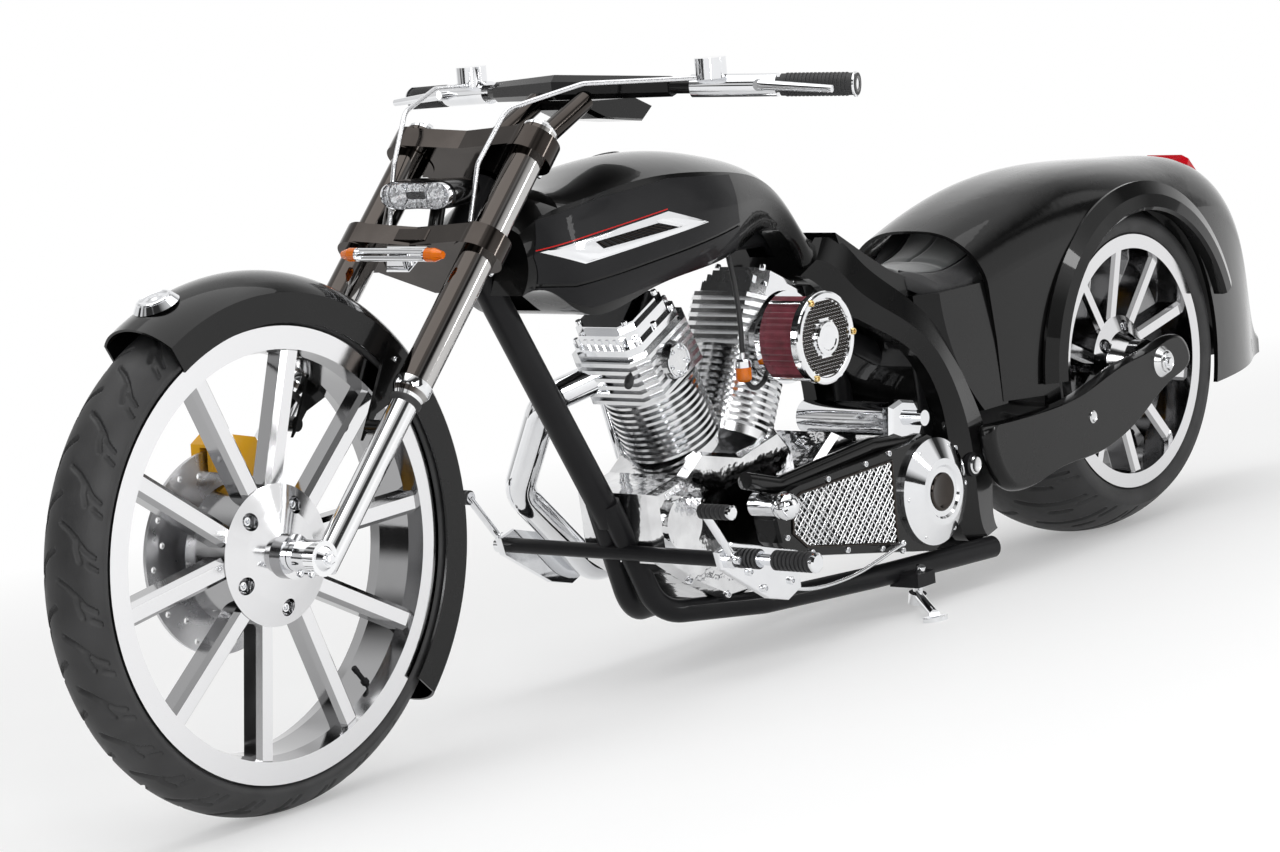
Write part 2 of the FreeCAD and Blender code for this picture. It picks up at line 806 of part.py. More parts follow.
def backbone(radius):
    """The top tube from the neck over the engine and down to the seat joint."""
    return tube([fork_point(lower_clamp_s * 0.5, 0), V(fork_top.x - 76.0, 0, backbone_z),
                 V(900.0, 0, backbone_z - 20.0), V(850.0, 0, 560.0), V(seat_joint_x + 2.0, 0, seat_joint_z)],
                radius, 60.0)


@functools.lru_cache(maxsize=None)
def frame():
    """Neck, downtube, backbone, lower rails and rear uprights as one weldment."""
    knee = V(crank_x + knee_ahead, 0, crank_z + knee_rise)
    pieces = [neck(), cylinder(fork_point(lower_clamp_s * 0.66, 0), knee, downtube_r)]
    left = [knee + V(16.0, 12.0, 32.0), V(knee.x - 69.0, 30.0, rail_z + 24.0),
            V(crank_x - 20.0, 95.0, rail_z + 4.0), V(880.0, 150.0, rail_z),
            V(560.0, rail_rear_y, rail_z - 8.0)]
    rail = tube(left, rail_r, 80.0)
    pieces += [rail, mirrored(rail), backbone(backbone_r)]
    joint = V(seat_joint_x, 0, seat_joint_z)
    lower = V(rail_end_x, 0, rail_z - 2.0)
    pivot = V(arm_pivot_x, 0, arm_pivot_z)
    pieces.append(cylinder(joint - across * 130.0, joint + across * 130.0, 16.0))
    for side in (-95.0, 95.0):
        pieces.append(cylinder(joint + across * side, lower + across * side, 18.0))
    pieces.append(cylinder(lower - across * 172.0, lower + across * 172.0, 16.0))
    pieces.append(cylinder(pivot - across * arm_y, pivot + across * arm_y, 22.0))
    lug = side_prism([(stand_x - 26.0, 68.0), (stand_x + 26.0, 68.0), (stand_x + 26.0, 92.0),
                      (stand_x - 26.0, 92.0)], 150.0, stand_y + 16.0)
    pieces.append(lug)
    whole = fuse(pieces)
    bore = cylinder(fork_point(-20.0, 0), fork_point(lower_clamp_s, 0), stem_r + wheel_fit)
    return whole.cut(bore).cut(stand_pivot(stand_r + seat_gap))


def tank_section(share, half, low, belly, shoulder, ridge):
    """A section square to x, share of the way from tail to nose, heights above the base line."""
    base = tank_tail + (tank_nose - tank_tail) * share

    def at(y, z):
        return base + V(0, y, z)

    top = shoulder + (ridge - shoulder) * 0.7
    left_low = at(half * 0.84, low)
    right_low = at(-half * 0.84, low)
    left_edge = at(half * 0.88, shoulder)
    right_edge = at(-half * 0.88, shoulder)
    return section([
        [left_low, at(half, belly), left_edge],
        [left_edge, at(half * 0.5, top), at(0, ridge), at(-half * 0.5, top), right_edge],
        [right_edge, at(-half, belly), right_low],
        [right_low, left_low]])


@functools.lru_cache(maxsize=None)
def tank_solid(grow=0.0):
    """The tank's outer form, grown sideways by a skin's thickness."""
    stations = [(0.0, 82.0, -38.0, -12.0, 18.0, 38.0), (0.107, 90.0, 17.0, 42.0, 79.0, 109.0),
                (0.206, 102.0, 50.0, 84.0, 129.0, 159.0), (0.318, 126.0, 21.0, 71.0, 143.0, 175.0),
                (0.443, 148.0, -8.0, 44.0, 145.0, 182.0), (0.667, 148.0, -51.0, 2.0, 132.0, 158.0),
                (0.866, 132.0, -83.0, -33.0, 94.0, 118.0), (1.0, 104.0, -56.0, -18.0, 43.0, 66.0)]
    return skin_loft([tank_section(share, half + grow, *heights) for share, half, *heights in stations])


@functools.lru_cache(maxsize=None)
def fuel_tank():
    """The tank, with a tunnel for the backbone, a notch for the neck and room for the turned clamp."""
    tunnel = Part.makeBox(800.0, tunnel_w, 90.0, V(820.0, -tunnel_w / 2.0, backbone_z - 60.0))
    notch = cylinder(fork_point(-60.0, 0), fork_point(lower_clamp_s + 60.0, 0), neck_r + 2.0)
    steer = math.radians(steer_limit)
    back = -stem_collar * (math.cos(steer) + math.sin(steer)) - swing_gap
    front = leg_offset + upper_tube_r
    wide = 2.0 * leg_y
    swing = fork_prism([(back, -wide), (front, -wide), (front, wide), (back, wide)],
                       -leg_y, clamp_t / 2.0 + swing_gap)
    tank = tank_solid().cut(tunnel).cut(notch).cut(swing)
    return largest(tank.cut(backbone(backbone_r + 1.0)).cut(frame()))


def tank_side(outline, thickness):
    """The left half of a skin on the tank, by (share, height) points as in its sections."""
    points = []
    for share, height in outline:
        base = tank_tail + (tank_nose - tank_tail) * share
        points.append((base.x, base.z + height))
    return tank_solid(thickness).common(side_prism(points, 40.0, 220.0)).cut(tank_solid())


@functools.lru_cache(maxsize=None)
def tank_skin():
    """The left side panel in two parts, divided by a slanting groove."""
    outline = [(0.99, 6.0), (0.965, 65.0), (0.791, 103.0), (0.592, 134.0), (0.378, 141.0),
               (0.383, 75.0), (0.363, 17.0), (0.453, -1.0), (0.841, -77.0), (0.97, -56.0)]
    middle = [(1.002, -40.0), (0.893, -40.0), (0.771, -19.0), (0.581, 16.0), (0.356, 61.0)]
    groove = [(share, height - groove_w / 2.0) for share, height in middle]
    groove += [(share, height + groove_w / 2.0) for share, height in reversed(middle)]
    return tank_side(outline, panel_t).cut(tank_side(groove, 2.0 * panel_t))


def tank_panels():
    """The satin side panels."""
    return both_sides(tank_skin())


def tank_trims():
    """The bright slanted frame on each side panel, with its inset."""
    outline = [(0.98, 14.0), (0.633, 79.0), (0.512, 61.0), (0.879, -5.0)]
    window = [(0.847, 30.0), (0.667, 60.0), (0.607, 53.0), (0.828, 19.0)]
    frame_skin = tank_side(outline, trim_t).cut(tank_side(window, 2.0 * trim_t))
    return both_sides(frame_skin.cut(tank_skin()))


@functools.lru_cache(maxsize=None)
def body_panels():
    """The swept, creased panels from the tank down to the rear of the rails."""
    stations = [
        ((936.0, 636.0), (868.0, 694.0), 66.0, 96.0), ((870.0, 578.0), (798.0, 645.0), 84.0, 120.0),
        ((780.0, 518.0), (706.0, 572.0), 100.0, 140.0), ((700.0, 462.0), (630.0, 500.0), 114.0, 156.0),
        ((654.0, 372.0), (575.0, 398.0), 124.0, 170.0), ((645.0, 265.0), (532.0, 290.0), 130.0, 177.0),
        ((640.0, 160.0), (528.0, 180.0), 133.0, 179.0), ((610.0, 105.0), (520.0, 112.0), 134.0, 179.0)]
    sections = []
    for (x0, z0), (x1, z1), inner, outer in stations:
        crease_x = x0 + (x1 - x0) * 0.42
        crease_z = z0 + (z1 - z0) * 0.42
        sections.append([V(x0, inner, z0), V(x0, outer - 16.0, z0), V(crease_x, outer, crease_z),
                         V(x1, outer - 14.0, z1), V(x1, inner, z1)])
    return both_sides(largest(loft(sections).cut(frame()).cut(fuel_tank())))


@functools.lru_cache(maxsize=None)
def seat_base():
    """The centre body between tank and rear fender that carries the seat."""
    outline = [(846.0, 700.0), (766.0, 652.0), (696.0, 612.0), (640.0, 590.0), (560.0, 556.0),
               (470.0, 545.0), (425.0, 556.0), (440.0, 500.0), (640.0, 470.0), (790.0, 560.0)]
    spine = side_prism(outline, -95.0, 95.0)
    levels = ((560.0, 440.0, 660.0, 146.0), (450.0, 440.0, 640.0, 153.0), (330.0, 444.0, 560.0, 156.0))
    skirt = []
    for z, x0, x1, half in levels:
        skirt.append([V(x0, half, z), V(x1 - 40.0, half, z), V(x1, half - 30.0, z),
                      V(x1, 30.0 - half, z), V(x1 - 40.0, -half, z), V(x0, -half, z)])
    whole = fuse([spine, loft(skirt)])
    return largest(whole.cut(body_panels()).cut(frame()).cut(fuel_tank()))


@functools.lru_cache(maxsize=None)
def seat():
    """The saddle: dished between its nose and the raised lip at the back."""
    middle = [(690.0, 618.0), (610.0, 604.0), (520.0, 598.0), (430.0, 622.0), (350.0, 682.0), (314.0, 690.0)]
    flank = [(640.0, 592.0), (580.0, 580.0), (510.0, 578.0), (430.0, 600.0), (365.0, 652.0), (332.0, 664.0)]
    edge = [(600.0, 568.0), (560.0, 564.0), (510.0, 564.0), (450.0, 582.0), (400.0, 618.0), (372.0, 628.0)]
    sections = []
    for top, y, depth in ((edge, -130.0, 0.2), (flank, -104.0, 0.7), (middle, 0.0, 1.0),
                          (flank, 104.0, 0.7), (edge, 130.0, 0.2)):
        upper = [V(x, y, z) for x, z in top]
        rear = upper[-1]
        dish = upper[2]
        front = upper[0]
        rear_low = rear + V(8.0, 0, -seat_pad * depth)
        dish_low = dish + V(0, 0, -seat_pad * depth)
        front_low = front + V(0, 0, -seat_pad * depth)
        sections.append(section([upper, [rear, rear_low], [rear_low, dish_low], [dish_low, front_low],
                                 [front_low, front]]))
    return largest(skin_loft(sections).cut(seat_base()).cut(body_panels()))


def fender_section(x, half, top, low, shoulder):
    """Straight sides and a crowned top, as one closed section at x."""
    rise = top - shoulder
    left_low = V(x, half, low)
    left_edge = V(x, half, shoulder)
    right_low = V(x, -half, low)
    right_edge = V(x, -half, shoulder)
    crown = [left_edge, V(x, half * 0.87, shoulder + rise * 0.52), V(x, half * 0.5, top - rise * 0.09),
             V(x, 0, top), V(x, -half * 0.5, top - rise * 0.09), V(x, -half * 0.87, shoulder + rise * 0.52),
             right_edge]
    return section([[left_low, left_edge], crown, [right_edge, right_low], [right_low, left_low]])


def fender_form(inset, low):
    """The rear fender's outer form, or its inside when inset."""
    stations = [(540.0, 150.0, 640.0, 540.0), (300.0, 168.0, 708.0, 590.0),
                (54.0, rear_fender_half, 727.0, 610.0), (-200.0, 168.0, 709.0, 594.0),
                (-389.0, 138.0, 668.0, 556.0), (-520.0, 92.0, 520.0, 430.0), (-640.0, 40.0, 300.0, 276.0)]
    return skin_loft([fender_section(x, half - inset, top - inset, low, shoulder - inset)
                      for x, half, top, shoulder in stations])


def arch_flare():
    """The raised band round each wheel arch."""
    inside = rear_fender_half - rear_fender_t
    profile = [(inside - 4.0, arch_r), (flare_y - 6.0, arch_r), (flare_y, arch_r + 6.0),
               (flare_y - 4.0, arch_r + flare_w * 0.55), (rear_fender_half - 3.0, arch_r + flare_w),
               (inside, arch_r + flare_w)]
    wire = Part.makePolygon([rear_axle + V(0, y, r) for y, r in profile + [profile[0]]])
    band = Part.Face(wire).revolve(rear_axle, across, flare_sweep)
    return turned(band, rear_axle, flare_front - flare_sweep)


@functools.lru_cache(maxsize=None)
def rear_fender():
    """The boat-tailed fender shell with flared wheel arches."""
    outer = fender_form(0.0, 250.0)
    inner = fender_form(rear_fender_t, 200.0)
    inner.translate(V(rear_fender_t, 0, 0))
    front_cut = side_prism([(505.0, 700.0), (480.0, 560.0), (466.0, 450.0), (460.0, 336.0), (330.0, 326.0),
                            (330.0, 150.0), (620.0, 150.0), (620.0, 700.0)], -220.0, 220.0)
    arch = Part.makeCylinder(arch_r, 440.0, rear_axle - across * 220.0, across)
    shell = outer.cut(inner).cut(front_cut).cut(arch)
    flare = arch_flare()
    return fuse([shell, flare, mirrored(flare)]).cut(seat()).cut(body_panels()).cut(seat_base())


def tail_light():
    """The red lamp along the ridge of the tail."""
    outline = [(-390.0, 690.0), (-478.0, 600.0), (-500.0, 555.0), (-488.0, 548.0), (-380.0, 668.0)]
    return largest(bevelled_prism(outline, -52.0, 52.0, 12.0, 0.9).cut(fender_form(0.0, 250.0)))


@functools.lru_cache(maxsize=None)
def swingarm():
    """The cast arm on each side that carries the rear axle."""
    outline = [(574.0, 312.0), (420.0, 310.0), (280.0, 321.0), (130.0, 354.0), (0.0, 371.0), (-96.0, 366.0),
               (-112.0, 330.0), (-50.0, 300.0), (64.0, 250.0), (234.0, 200.0), (393.0, 191.0), (562.0, 216.0)]
    mid_x = sum(x for x, z in outline) / len(outline)
    mid_z = sum(z for x, z in outline) / len(outline)
    rings = []
    for level, share in ((0.0, 0.97), (0.3, 1.0), (0.7, 0.99), (1.0, 0.93)):
        y = arm_y + arm_t * level
        rings.append(ring([V(mid_x + (x - mid_x) * share, y, mid_z + (z - mid_z) * share)
                           for x, z in outline]))
    arm = skin_loft(rings)
    bore = cylinder(rear_axle + across * 100.0, rear_axle + across * 260.0, rear_axle_r)
    return both_sides(arm.cut(bore))


def rear_axle_pin():
    """The rear axle with spacers and oval caps."""
    end = arm_y + arm_t
    pin = cylinder(rear_axle - across * end, rear_axle + across * end, rear_axle_r)
    hub_side = rear_axle + across * (rear_hub_end + 1.0)
    spacer = cylinder(hub_side, rear_axle + across * arm_y, rear_axle_r * 1.6)
    cap = cone(rear_axle + across * end, rear_axle + across * (end + 10.0), 30.0, 22.0)
    return fuse([pin, spacer, mirrored(spacer), cap, mirrored(cap)])


def rear_caliper():
    radial = V(0.95, 0, 0.3).normalize()
    block = caliper_block(rear_axle, rear_rotor_r, rear_rotor_y, rear_rotor_t, radial, -arm_y, -148.0)
    return largest(block)


@functools.lru_cache(maxsize=None)
def crankcase():
    """The cases that carry the crank, with the cam chest on the right."""
    outline = about(crank_x, crank_z, [
        (-150.0, 95.0), (-165.0, 0.0), (-140.0, -85.0), (-60.0, -132.0), (65.0, -132.0), (160.0, -85.0),
        (235.0, -35.0), (245.0, 85.0), (160.0, 102.0), (112.0, 135.0), (0.0, 110.0), (-112.0, 135.0)])
    case = bevelled_prism(outline, -88.0, 88.0, 14.0, 0.93)
    chest = cylinder(V(crank_x, -80.0, crank_z), V(crank_x, -132.0, crank_z), 96.0)
    front = V(crank_x + 180.0, 0, crank_z + 25.0)
    nose = cylinder(front - across * 60.0, front + across * 100.0, 46.0)
    return fuse([case, chest, nose]).cut(frame())


def on_crank(shape, side):
    """A piece drawn on a vertical cylinder axis, leaned onto the front (1) or rear (-1) axis."""
    leant = shape.copy()
    leant.rotate(V(0, 0, 0), across, vee_half_angle * side)
    leant.translate(V(crank_x, 0, crank_z))
    return leant


def slab(half_x, half_y, corner, z0, z1):
    """A plate with cut corners, square to a vertical cylinder axis."""
    outline = [(half_x, corner - half_y), (half_x, half_y - corner), (half_x - corner, half_y),
               (corner - half_x, half_y), (-half_x, half_y - corner), (-half_x, corner - half_y),
               (corner - half_x, -half_y), (half_x - corner, -half_y)]
    return face_of([V(x, y, z0) for x, y in outline]).extrude(V(0, 0, z1 - z0))


@functools.lru_cache(maxsize=None)
def finned_barrel(side):
    """A finned cylinder barrel, turned in one piece, on its base flange."""
    pitch = (barrel_length - barrel_base) / fin_count
    profile = [(0.0, 0.0), (fin_r - 8.0, 0.0), (fin_r - 8.0, barrel_base), (bore_r, barrel_base)]
    for k in range(fin_count):
        low = barrel_base + pitch * k + (pitch - fin_t) / 2.0
        profile += [(bore_r, low), (fin_r, low), (fin_r, low + fin_t), (bore_r, low + fin_t)]
    profile += [(bore_r, barrel_length), (0.0, barrel_length)]
    points = [V(r, 0, barrel_start + z) for r, z in profile]
    barrel = Part.Face(Part.makePolygon(points + [points[0]])).revolve(V(0, 0, 0), V(0, 0, 1), 360)
    barrel = on_crank(barrel, side).cut(crankcase())
    return largest(barrel if side > 0 else barrel.cut(finned_barrel(1)))


@functools.lru_cache(maxsize=None)
def finned_head(side):
    """A cylinder head: a core with square fins and a domed cover on the left."""
    low = barrel_start + barrel_length
    pitch = head_length / head_fins
    pieces = [slab(head_core, head_core + 8.0, 18.0, low, low + head_length)]
    for k in range(head_fins):
        z = low + pitch * k + pitch * 0.25
        pieces.append(slab(head_half, head_half, 26.0, z, z + pitch * 0.5))
    middle = low + head_length * 0.5
    cover_r = head_length * 0.42
    root = V(10.0, head_core, middle)
    pieces.append(cone(root, root + across * (head_half + 12.0 - head_core), cover_r, cover_r * 0.75))
    return largest(on_crank(fuse(pieces), side))


@functools.lru_cache(maxsize=None)
def cylinder_heads():
    front = finned_head(1).cut(finned_barrel(-1))
    rear = finned_head(-1).cut(front).cut(finned_barrel(1))
    return Part.makeCompound([largest(front), largest(rear)])


def rocker_boxes():
    """The rocker boxes: a thick base, a narrower cover and a rib over each bolt row."""
    low = barrel_start + barrel_length + head_length
    top = low + rocker_base + rocker_h
    pieces = [slab(rocker_half, rocker_half, 20.0, low, low + rocker_base),
              slab(rocker_half - 8.0, rocker_half - 8.0, 24.0, low + rocker_base, top - 10.0),
              slab(rocker_half - 20.0, rocker_half - 16.0, 20.0, top - 10.0, top)]
    for k in range(rocker_ribs):
        y = (k - (rocker_ribs - 1) / 2.0) * rocker_half * 1.5 / rocker_ribs
        rib = Part.makeBox(rocker_half * 2.0 - 12.0, 6.0, rocker_h - 18.0)
        rib.translate(V(6.0 - rocker_half, y - 3.0, low + rocker_base))
        pieces.append(rib)
    box = fuse(pieces)
    return Part.makeCompound([largest(on_crank(box, side).cut(frame()).cut(fuel_tank())) for side in (1, -1)])


def pushrods():
    """The pushrod tubes on the right of each cylinder."""
    rods = []
    for side in (-1, 1):
        for off in (-22.0, 22.0):
            foot = V(crank_x + side * 46.0 + off, -110.0, crank_z + 60.0)
            top = crank_point(side, barrel_start + barrel_length + 10.0, off, -head_half - 4.0)
            rods.append(cylinder(foot, top, 9.0))
    block = fuse([crankcase(), finned_barrel(1), finned_barrel(-1)])
    return Part.makeCompound([largest(rod.cut(block).cut(cylinder_heads())) for rod in rods])


def carburettor():
    """Manifold and carburettor between the cylinders."""
    inner = filter_y - 60.0
    body = cylinder(V(filter_x, inner, filter_z), V(filter_x, filter_y - 12.0, filter_z), 34.0)
    bowl = cylinder(V(filter_x, inner, filter_z - 48.0), V(filter_x, filter_y - 20.0, filter_z - 48.0), 24.0)
    return largest(fuse([body, bowl]).cut(cylinder_heads()).cut(finned_barrel(1)).cut(finned_barrel(-1)))


def air_filter():
    """The pleated element, with a dent between each pair of pleats."""
    profile = []
    for k in range(2 * filter_pleats):
        a = math.pi * k / filter_pleats
        radius = filter_r if k % 2 else filter_r - 5.0
        profile.append(V(filter_x + radius * math.sin(a), filter_y, filter_z + radius * math.cos(a)))
    return face_of(profile).extrude(across * filter_w)


def air_filter_rings():
    """Back plate, front ring and the three posts that tie them together."""
    inner = V(filter_x, filter_y, filter_z)
    back = cylinder(inner - across * 12.0, inner - across * seat_gap, filter_r + 10.0)
    middle = inner + across * filter_w
    front = cylinder(middle + across * seat_gap, middle + across * 15.0, filter_r + 8.0)
    pieces = [back, front]
    for k in range(3):
        a = math.radians(30.0 + 120.0 * k)
        arm = V((filter_r + 5.0) * math.sin(a), 0, (filter_r + 5.0) * math.cos(a))
        pieces.append(cylinder(inner - across * 6.0 + arm, middle + across * 5.0 + arm, 3.5))
    return fuse(pieces)


@functools.lru_cache(maxsize=None)
def primary_cover():
    """The open belt cover on the left: a frame round the mesh window, and the guard tube on top."""
    nose = [(40.0, 6.0), (18.0, 46.0), (-26.0, 54.0)]
    tail = [(60.0, clutch_r), (0.0, clutch_r + 8.0), (-90.0, 60.0), (-108.0, 0.0), (-90.0, -70.0),
            (0.0, -clutch_r - 12.0), (60.0, -clutch_r - 2.0)]
    heel = [(-10.0, -66.0), (30.0, -35.0)]
    outline = about(crank_x, crank_z, nose) + about(clutch_x, clutch_z, tail) + about(crank_x, crank_z, heel)
    cover = bevelled_prism(outline, primary_y, primary_y + primary_w, 6.0, 0.985)
    depth = 6.0
    window = side_prism(mesh_outline(), primary_y + primary_w - depth, primary_y + primary_w)
    along = about(crank_x, crank_z, [(76.0, 80.0), (-10.0, 56.0)])
    along += about(clutch_x, clutch_z, [(132.0, 104.0), (22.0, 96.0)])
    guard = tube([V(x, primary_y + 22.0, z) for x, z in along], 15.0, 50.0)
    return largest(fuse([cover.cut(window), guard]).cut(body_panels()).cut(frame()).cut(crankcase()))


def mesh_outline():
    ahead = about(crank_x, crank_z, [(-4.0, -24.0), (-10.0, 30.0), (-34.0, 40.0)])
    behind = about(clutch_x, clutch_z, [(114.0, 76.0), (114.0, -72.0)])
    return ahead + behind + about(crank_x, crank_z, [(-40.0, -54.0)])


def primary_mesh():
    """The woven screen, set into its window."""
    y = primary_y + primary_w
    return side_prism(mesh_outline(), y - 6.0 + seat_gap, y - 2.0).cut(primary_cover())


def primary_cap():
    """The stepped, domed cap over the clutch."""
    start = primary_y + primary_w + seat_gap
    profile = [(start, 0.0), (start, clutch_r), (start + 8.0, clutch_r), (start + 26.0, clutch_r * 0.62),
               (start + 26.0, clutch_r * 0.5), (start + 22.0, clutch_r * 0.46), (start + 22.0, 0.0)]
    return lathe(profile, V(clutch_x, 0, clutch_z))


def primary_nose():
    """The bright horn that covers the engine pulley's end."""
    start = primary_y + 8.0
    ball = V(crank_x + 38.0, primary_y + 74.0, crank_z + 32.0)
    root = zip(about(crank_x, crank_z, [(100.0, 122.0), (76.0, 130.0), (64.0, 80.0), (90.0, 62.0)]),
               (0.0, 14.0, 12.0, 0.0))
    tip = zip(about(crank_x, crank_z, [(82.0, 50.0), (56.0, 62.0), (26.0, 26.0), (56.0, 8.0)]),
              (38.0, 52.0, 52.0, 38.0))
    horn = loft([[V(x, start + out, z) for (x, z), out in points] for points in (root, tip)], True)
    dome = Part.makeSphere(25.0, ball)
    stub = cylinder(V(ball.x, start, ball.z), ball, 20.0)
    return fuse([horn, dome, stub]).cut(primary_cover()).cut(crankcase())


@functools.lru_cache(maxsize=None)
def transmission():
    """The gearbox case behind the engine."""
    outline = about(clutch_x, clutch_z, [(-58.0, -32.0), (272.0, -62.0), (282.0, 78.0), (192.0, 138.0),
                                         (122.0, 108.0), (-48.0, 90.0)])
    case = bevelled_prism(outline, -100.0, primary_y - 2.0, 12.0, 0.92)
    return largest(case.cut(crankcase()).cut(frame()).cut(body_panels()))


def starter():
    """The starter motor across the gearbox, with its bright end bracket."""
    x = clutch_x + 34.0
    z = clutch_z + 134.0
    motor = cylinder(V(x, -60.0, z), V(x, 150.0, z), 30.0)
    bracket = about(x, z, [(50.0, -20.0), (44.0, 30.0), (10.0, 38.0), (-30.0, 30.0), (-56.0, -10.0),
                           (-40.0, -36.0), (20.0, -32.0)])
    plate = bevelled_prism(bracket, 140.0, 164.0, 6.0, 0.85)
    whole = fuse([motor, plate, cylinder(V(x - 24.0, 150.0, z), V(x - 24.0, 186.0, z), 14.0)])
    return largest(whole.cut(transmission()).cut(body_panels()).cut(primary_cover()).cut(frame()))


def header(side, lower):
    """A header pipe from a cylinder's outer port, out to the right and down."""
    port = crank_point(side, head_middle, side * (head_core - 10.0), -40.0)
    elbow = crank_point(side, head_middle, side * (head_half + 50.0), -110.0)
    return tube([port, elbow] + [V(x, -pipe_y, z) for x, z in lower], pipe_r, 60.0)


def exhaust():
    """The two header pipes and the low silencer on the right."""
    start = V(crank_x - 250.0, -pipe_y, pipe_z)
    front = header(1, [(crank_x + 250.0, crank_z + 80.0), (crank_x + 80.0, pipe_z + 15.0), (start.x, pipe_z)])
    rear = header(-1, [(start.x + 5.0, crank_z + 50.0), (start.x - 60.0, pipe_z + 2.0)])
    can = cylinder(start, start + V(-silencer_length, -20.0, -10.0), silencer_r)
    whole = fuse([front, rear, can])
    return whole.cut(cylinder_heads()).cut(frame()).cut(swingarm()).cut(body_panels())


def foot_controls(side):
    """Bolted bracket, peg and pedal at one end of the cross tube."""
    outer = control_y + control_t
    outline = about(crank_x, crank_z, [(278.0, 2.0), (240.0, 12.0), (66.0, -36.0), (64.0, -100.0),
                                       (100.0, -114.0), (154.0, -100.0), (270.0, -28.0)])
    bracket = bevelled_prism(outline, control_y, outer, 3.0, 0.97)
    rest = V(crank_x + 150.0, outer, crank_z - 35.0)
    peg = fuse([cylinder(rest - across * 2.0, rest + across * 16.0, 10.0),
                cylinder(rest + across * 14.0, rest + across * 99.0, 14.0)])
    hinge = V(crank_x + control_x, outer, crank_z - control_drop)
    toe = hinge + V(70.0, 4.0, 95.0)
    arm = cylinder(hinge + V(0, 6.0, 5.0), toe + across * 6.0, 7.0)
    tip = cylinder(toe, toe + across * 65.0, 10.0)
    pivot = cylinder(hinge - across * 2.0, hinge + across * 16.0, 14.0)
    whole = fuse([bracket, peg, arm, tip, pivot])
    return whole if side > 0 else mirrored(whole)


def control_tube():
    """The bar across the frame that carries the foot controls."""
    middle = V(crank_x + control_x, 0, crank_z - control_drop)
    bar = cylinder(middle - across * control_y, middle + across * control_y, 13.0)
    return bar.cut(frame()).cut(crankcase())


def stand_axis():
    """The tilted hinge line of the side stand."""
    out = V(stand_reach, stand_out, -stand_drop)
    return out.cross(V(*stand_folded)).normalize()


def stand_pivot(radius):
    centre = V(stand_x, stand_y, stand_z)
    return cylinder(centre - stand_axis() * 26.0, centre + stand_axis() * 26.0, radius)


def side_stand():
    """The stand, swung out and forward with its foot flat on the ground."""
    pivot = V(stand_x, stand_y, stand_z)
    foot_y = stand_y + stand_out
    ground = foot_y * math.tan(tilt)
    down = V(0, math.sin(tilt), -math.cos(tilt))
    foot = V(stand_x + stand_reach, foot_y, ground)
    pad = cylinder(foot, foot - down * stand_foot_t, stand_foot_r)
    leg = cylinder(pivot - stand_axis() * 30.0, foot - down * 10.0, stand_r)
    hub = cylinder(pivot - stand_axis() * 46.0, pivot - stand_axis() * 27.0, stand_r + 7.0)
    pin = cylinder(pivot - stand_axis() * 30.0, pivot + stand_axis() * 24.0, stand_r)
    return fuse([pad, leg, hub, pin])


def subparts():
    """Every sub-part by its name."""
    return {
        "frame": frame(),
        "fuel_tank": fuel_tank(),
        "tank_panels": tank_panels(),
        "tank_trims": tank_trims(),
        "body_panels": body_panels(),
        "seat_base": seat_base(),
        "seat": seat(),
        "rear_fender": rear_fender(),
        "tail_light": tail_light(),
        "swingarm": swingarm(),
        "rear_axle": rear_axle_pin(),
        "rear_caliper": rear_caliper(),
        "crankcase": crankcase(),
        "cylinder_front": finned_barrel(1),
        "cylinder_rear": finned_barrel(-1),
        "cylinder_heads": cylinder_heads(),
        "rocker_boxes": rocker_boxes(),
        "pushrods": pushrods(),
        "carburettor": carburettor(),
        "air_filter": air_filter(),
        "air_filter_rings": air_filter_rings(),
        "primary_cover": primary_cover(),
        "primary_cap": primary_cap(),
        "primary_mesh": primary_mesh(),
        "primary_nose": primary_nose(),
        "transmission": transmission(),
        "starter": starter(),
        "exhaust": exhaust(),
        "control_tube": control_tube(),
        "left_controls": foot_controls(1),
        "right_controls": foot_controls(-1),
        "triple_clamps": triple_clamps(),
        "fork_left": fork_leg(1),
        "fork_right": fork_leg(-1),
        "risers": risers(),
        "handlebar": handlebar(),
        "grips": grips(),
        "bar_controls": bar_controls(),
        "gauge_pod": gauge_pod(),
        "headlight_housing": headlight_housing(),
        "headlight_lens": headlight_lens(),
        "signal_bar": signal_bar(),
        "turn_signals": turn_signals(),
        "front_fender": front_fender(),
        "fender_struts": fender_struts(),
        "fender_badge": fender_badge(),
        "front_axle": front_axle_pin(),
        "front_caliper": front_caliper(),
        "cables": cables(),
        "front_tyre": front_tyre(),
        "front_rim": front_rim(),
        "front_rotor": front_rotor(),
        "rear_tyre": rear_tyre(),
        "rear_rim": rear_rim(),
        "rear_rotor": rear_rotor(),
        "side_stand": side_stand(),
    }


def leaned(shape):
    copy = shape.copy()
    copy.rotate(V(0, 0, 0), V(1, 0, 0), -lean)
    return copy


def main():
    os.makedirs("parts", exist_ok=True)
    placed = {name: leaned(shape) for name, shape in subparts().items()}
    box = Part.makeCompound(list(placed.values())).optimalBoundingBox(False, False)
    shift = V(-(box.XMin + box.XMax) / 2.0, -(box.YMin + box.YMax) / 2.0, -box.ZMin)
    for name, shape in placed.items():
        shape.translate(shift)
        shape.exportStep("parts/" + name + ".step")
        print(name, "solids", len(shape.Solids), "volume", round(shape.Volume))
    print("box", box.XLength, box.YLength, box.ZLength)
    print("shift", shift)


main()
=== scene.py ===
"""The chopper's looks: finishes, tread, seat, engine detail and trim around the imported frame."""
import json
import math

import bmesh
import bpy
import numpy as np
from mathutils import Matrix, Vector
from mathutils.bvhtree import BVHTree


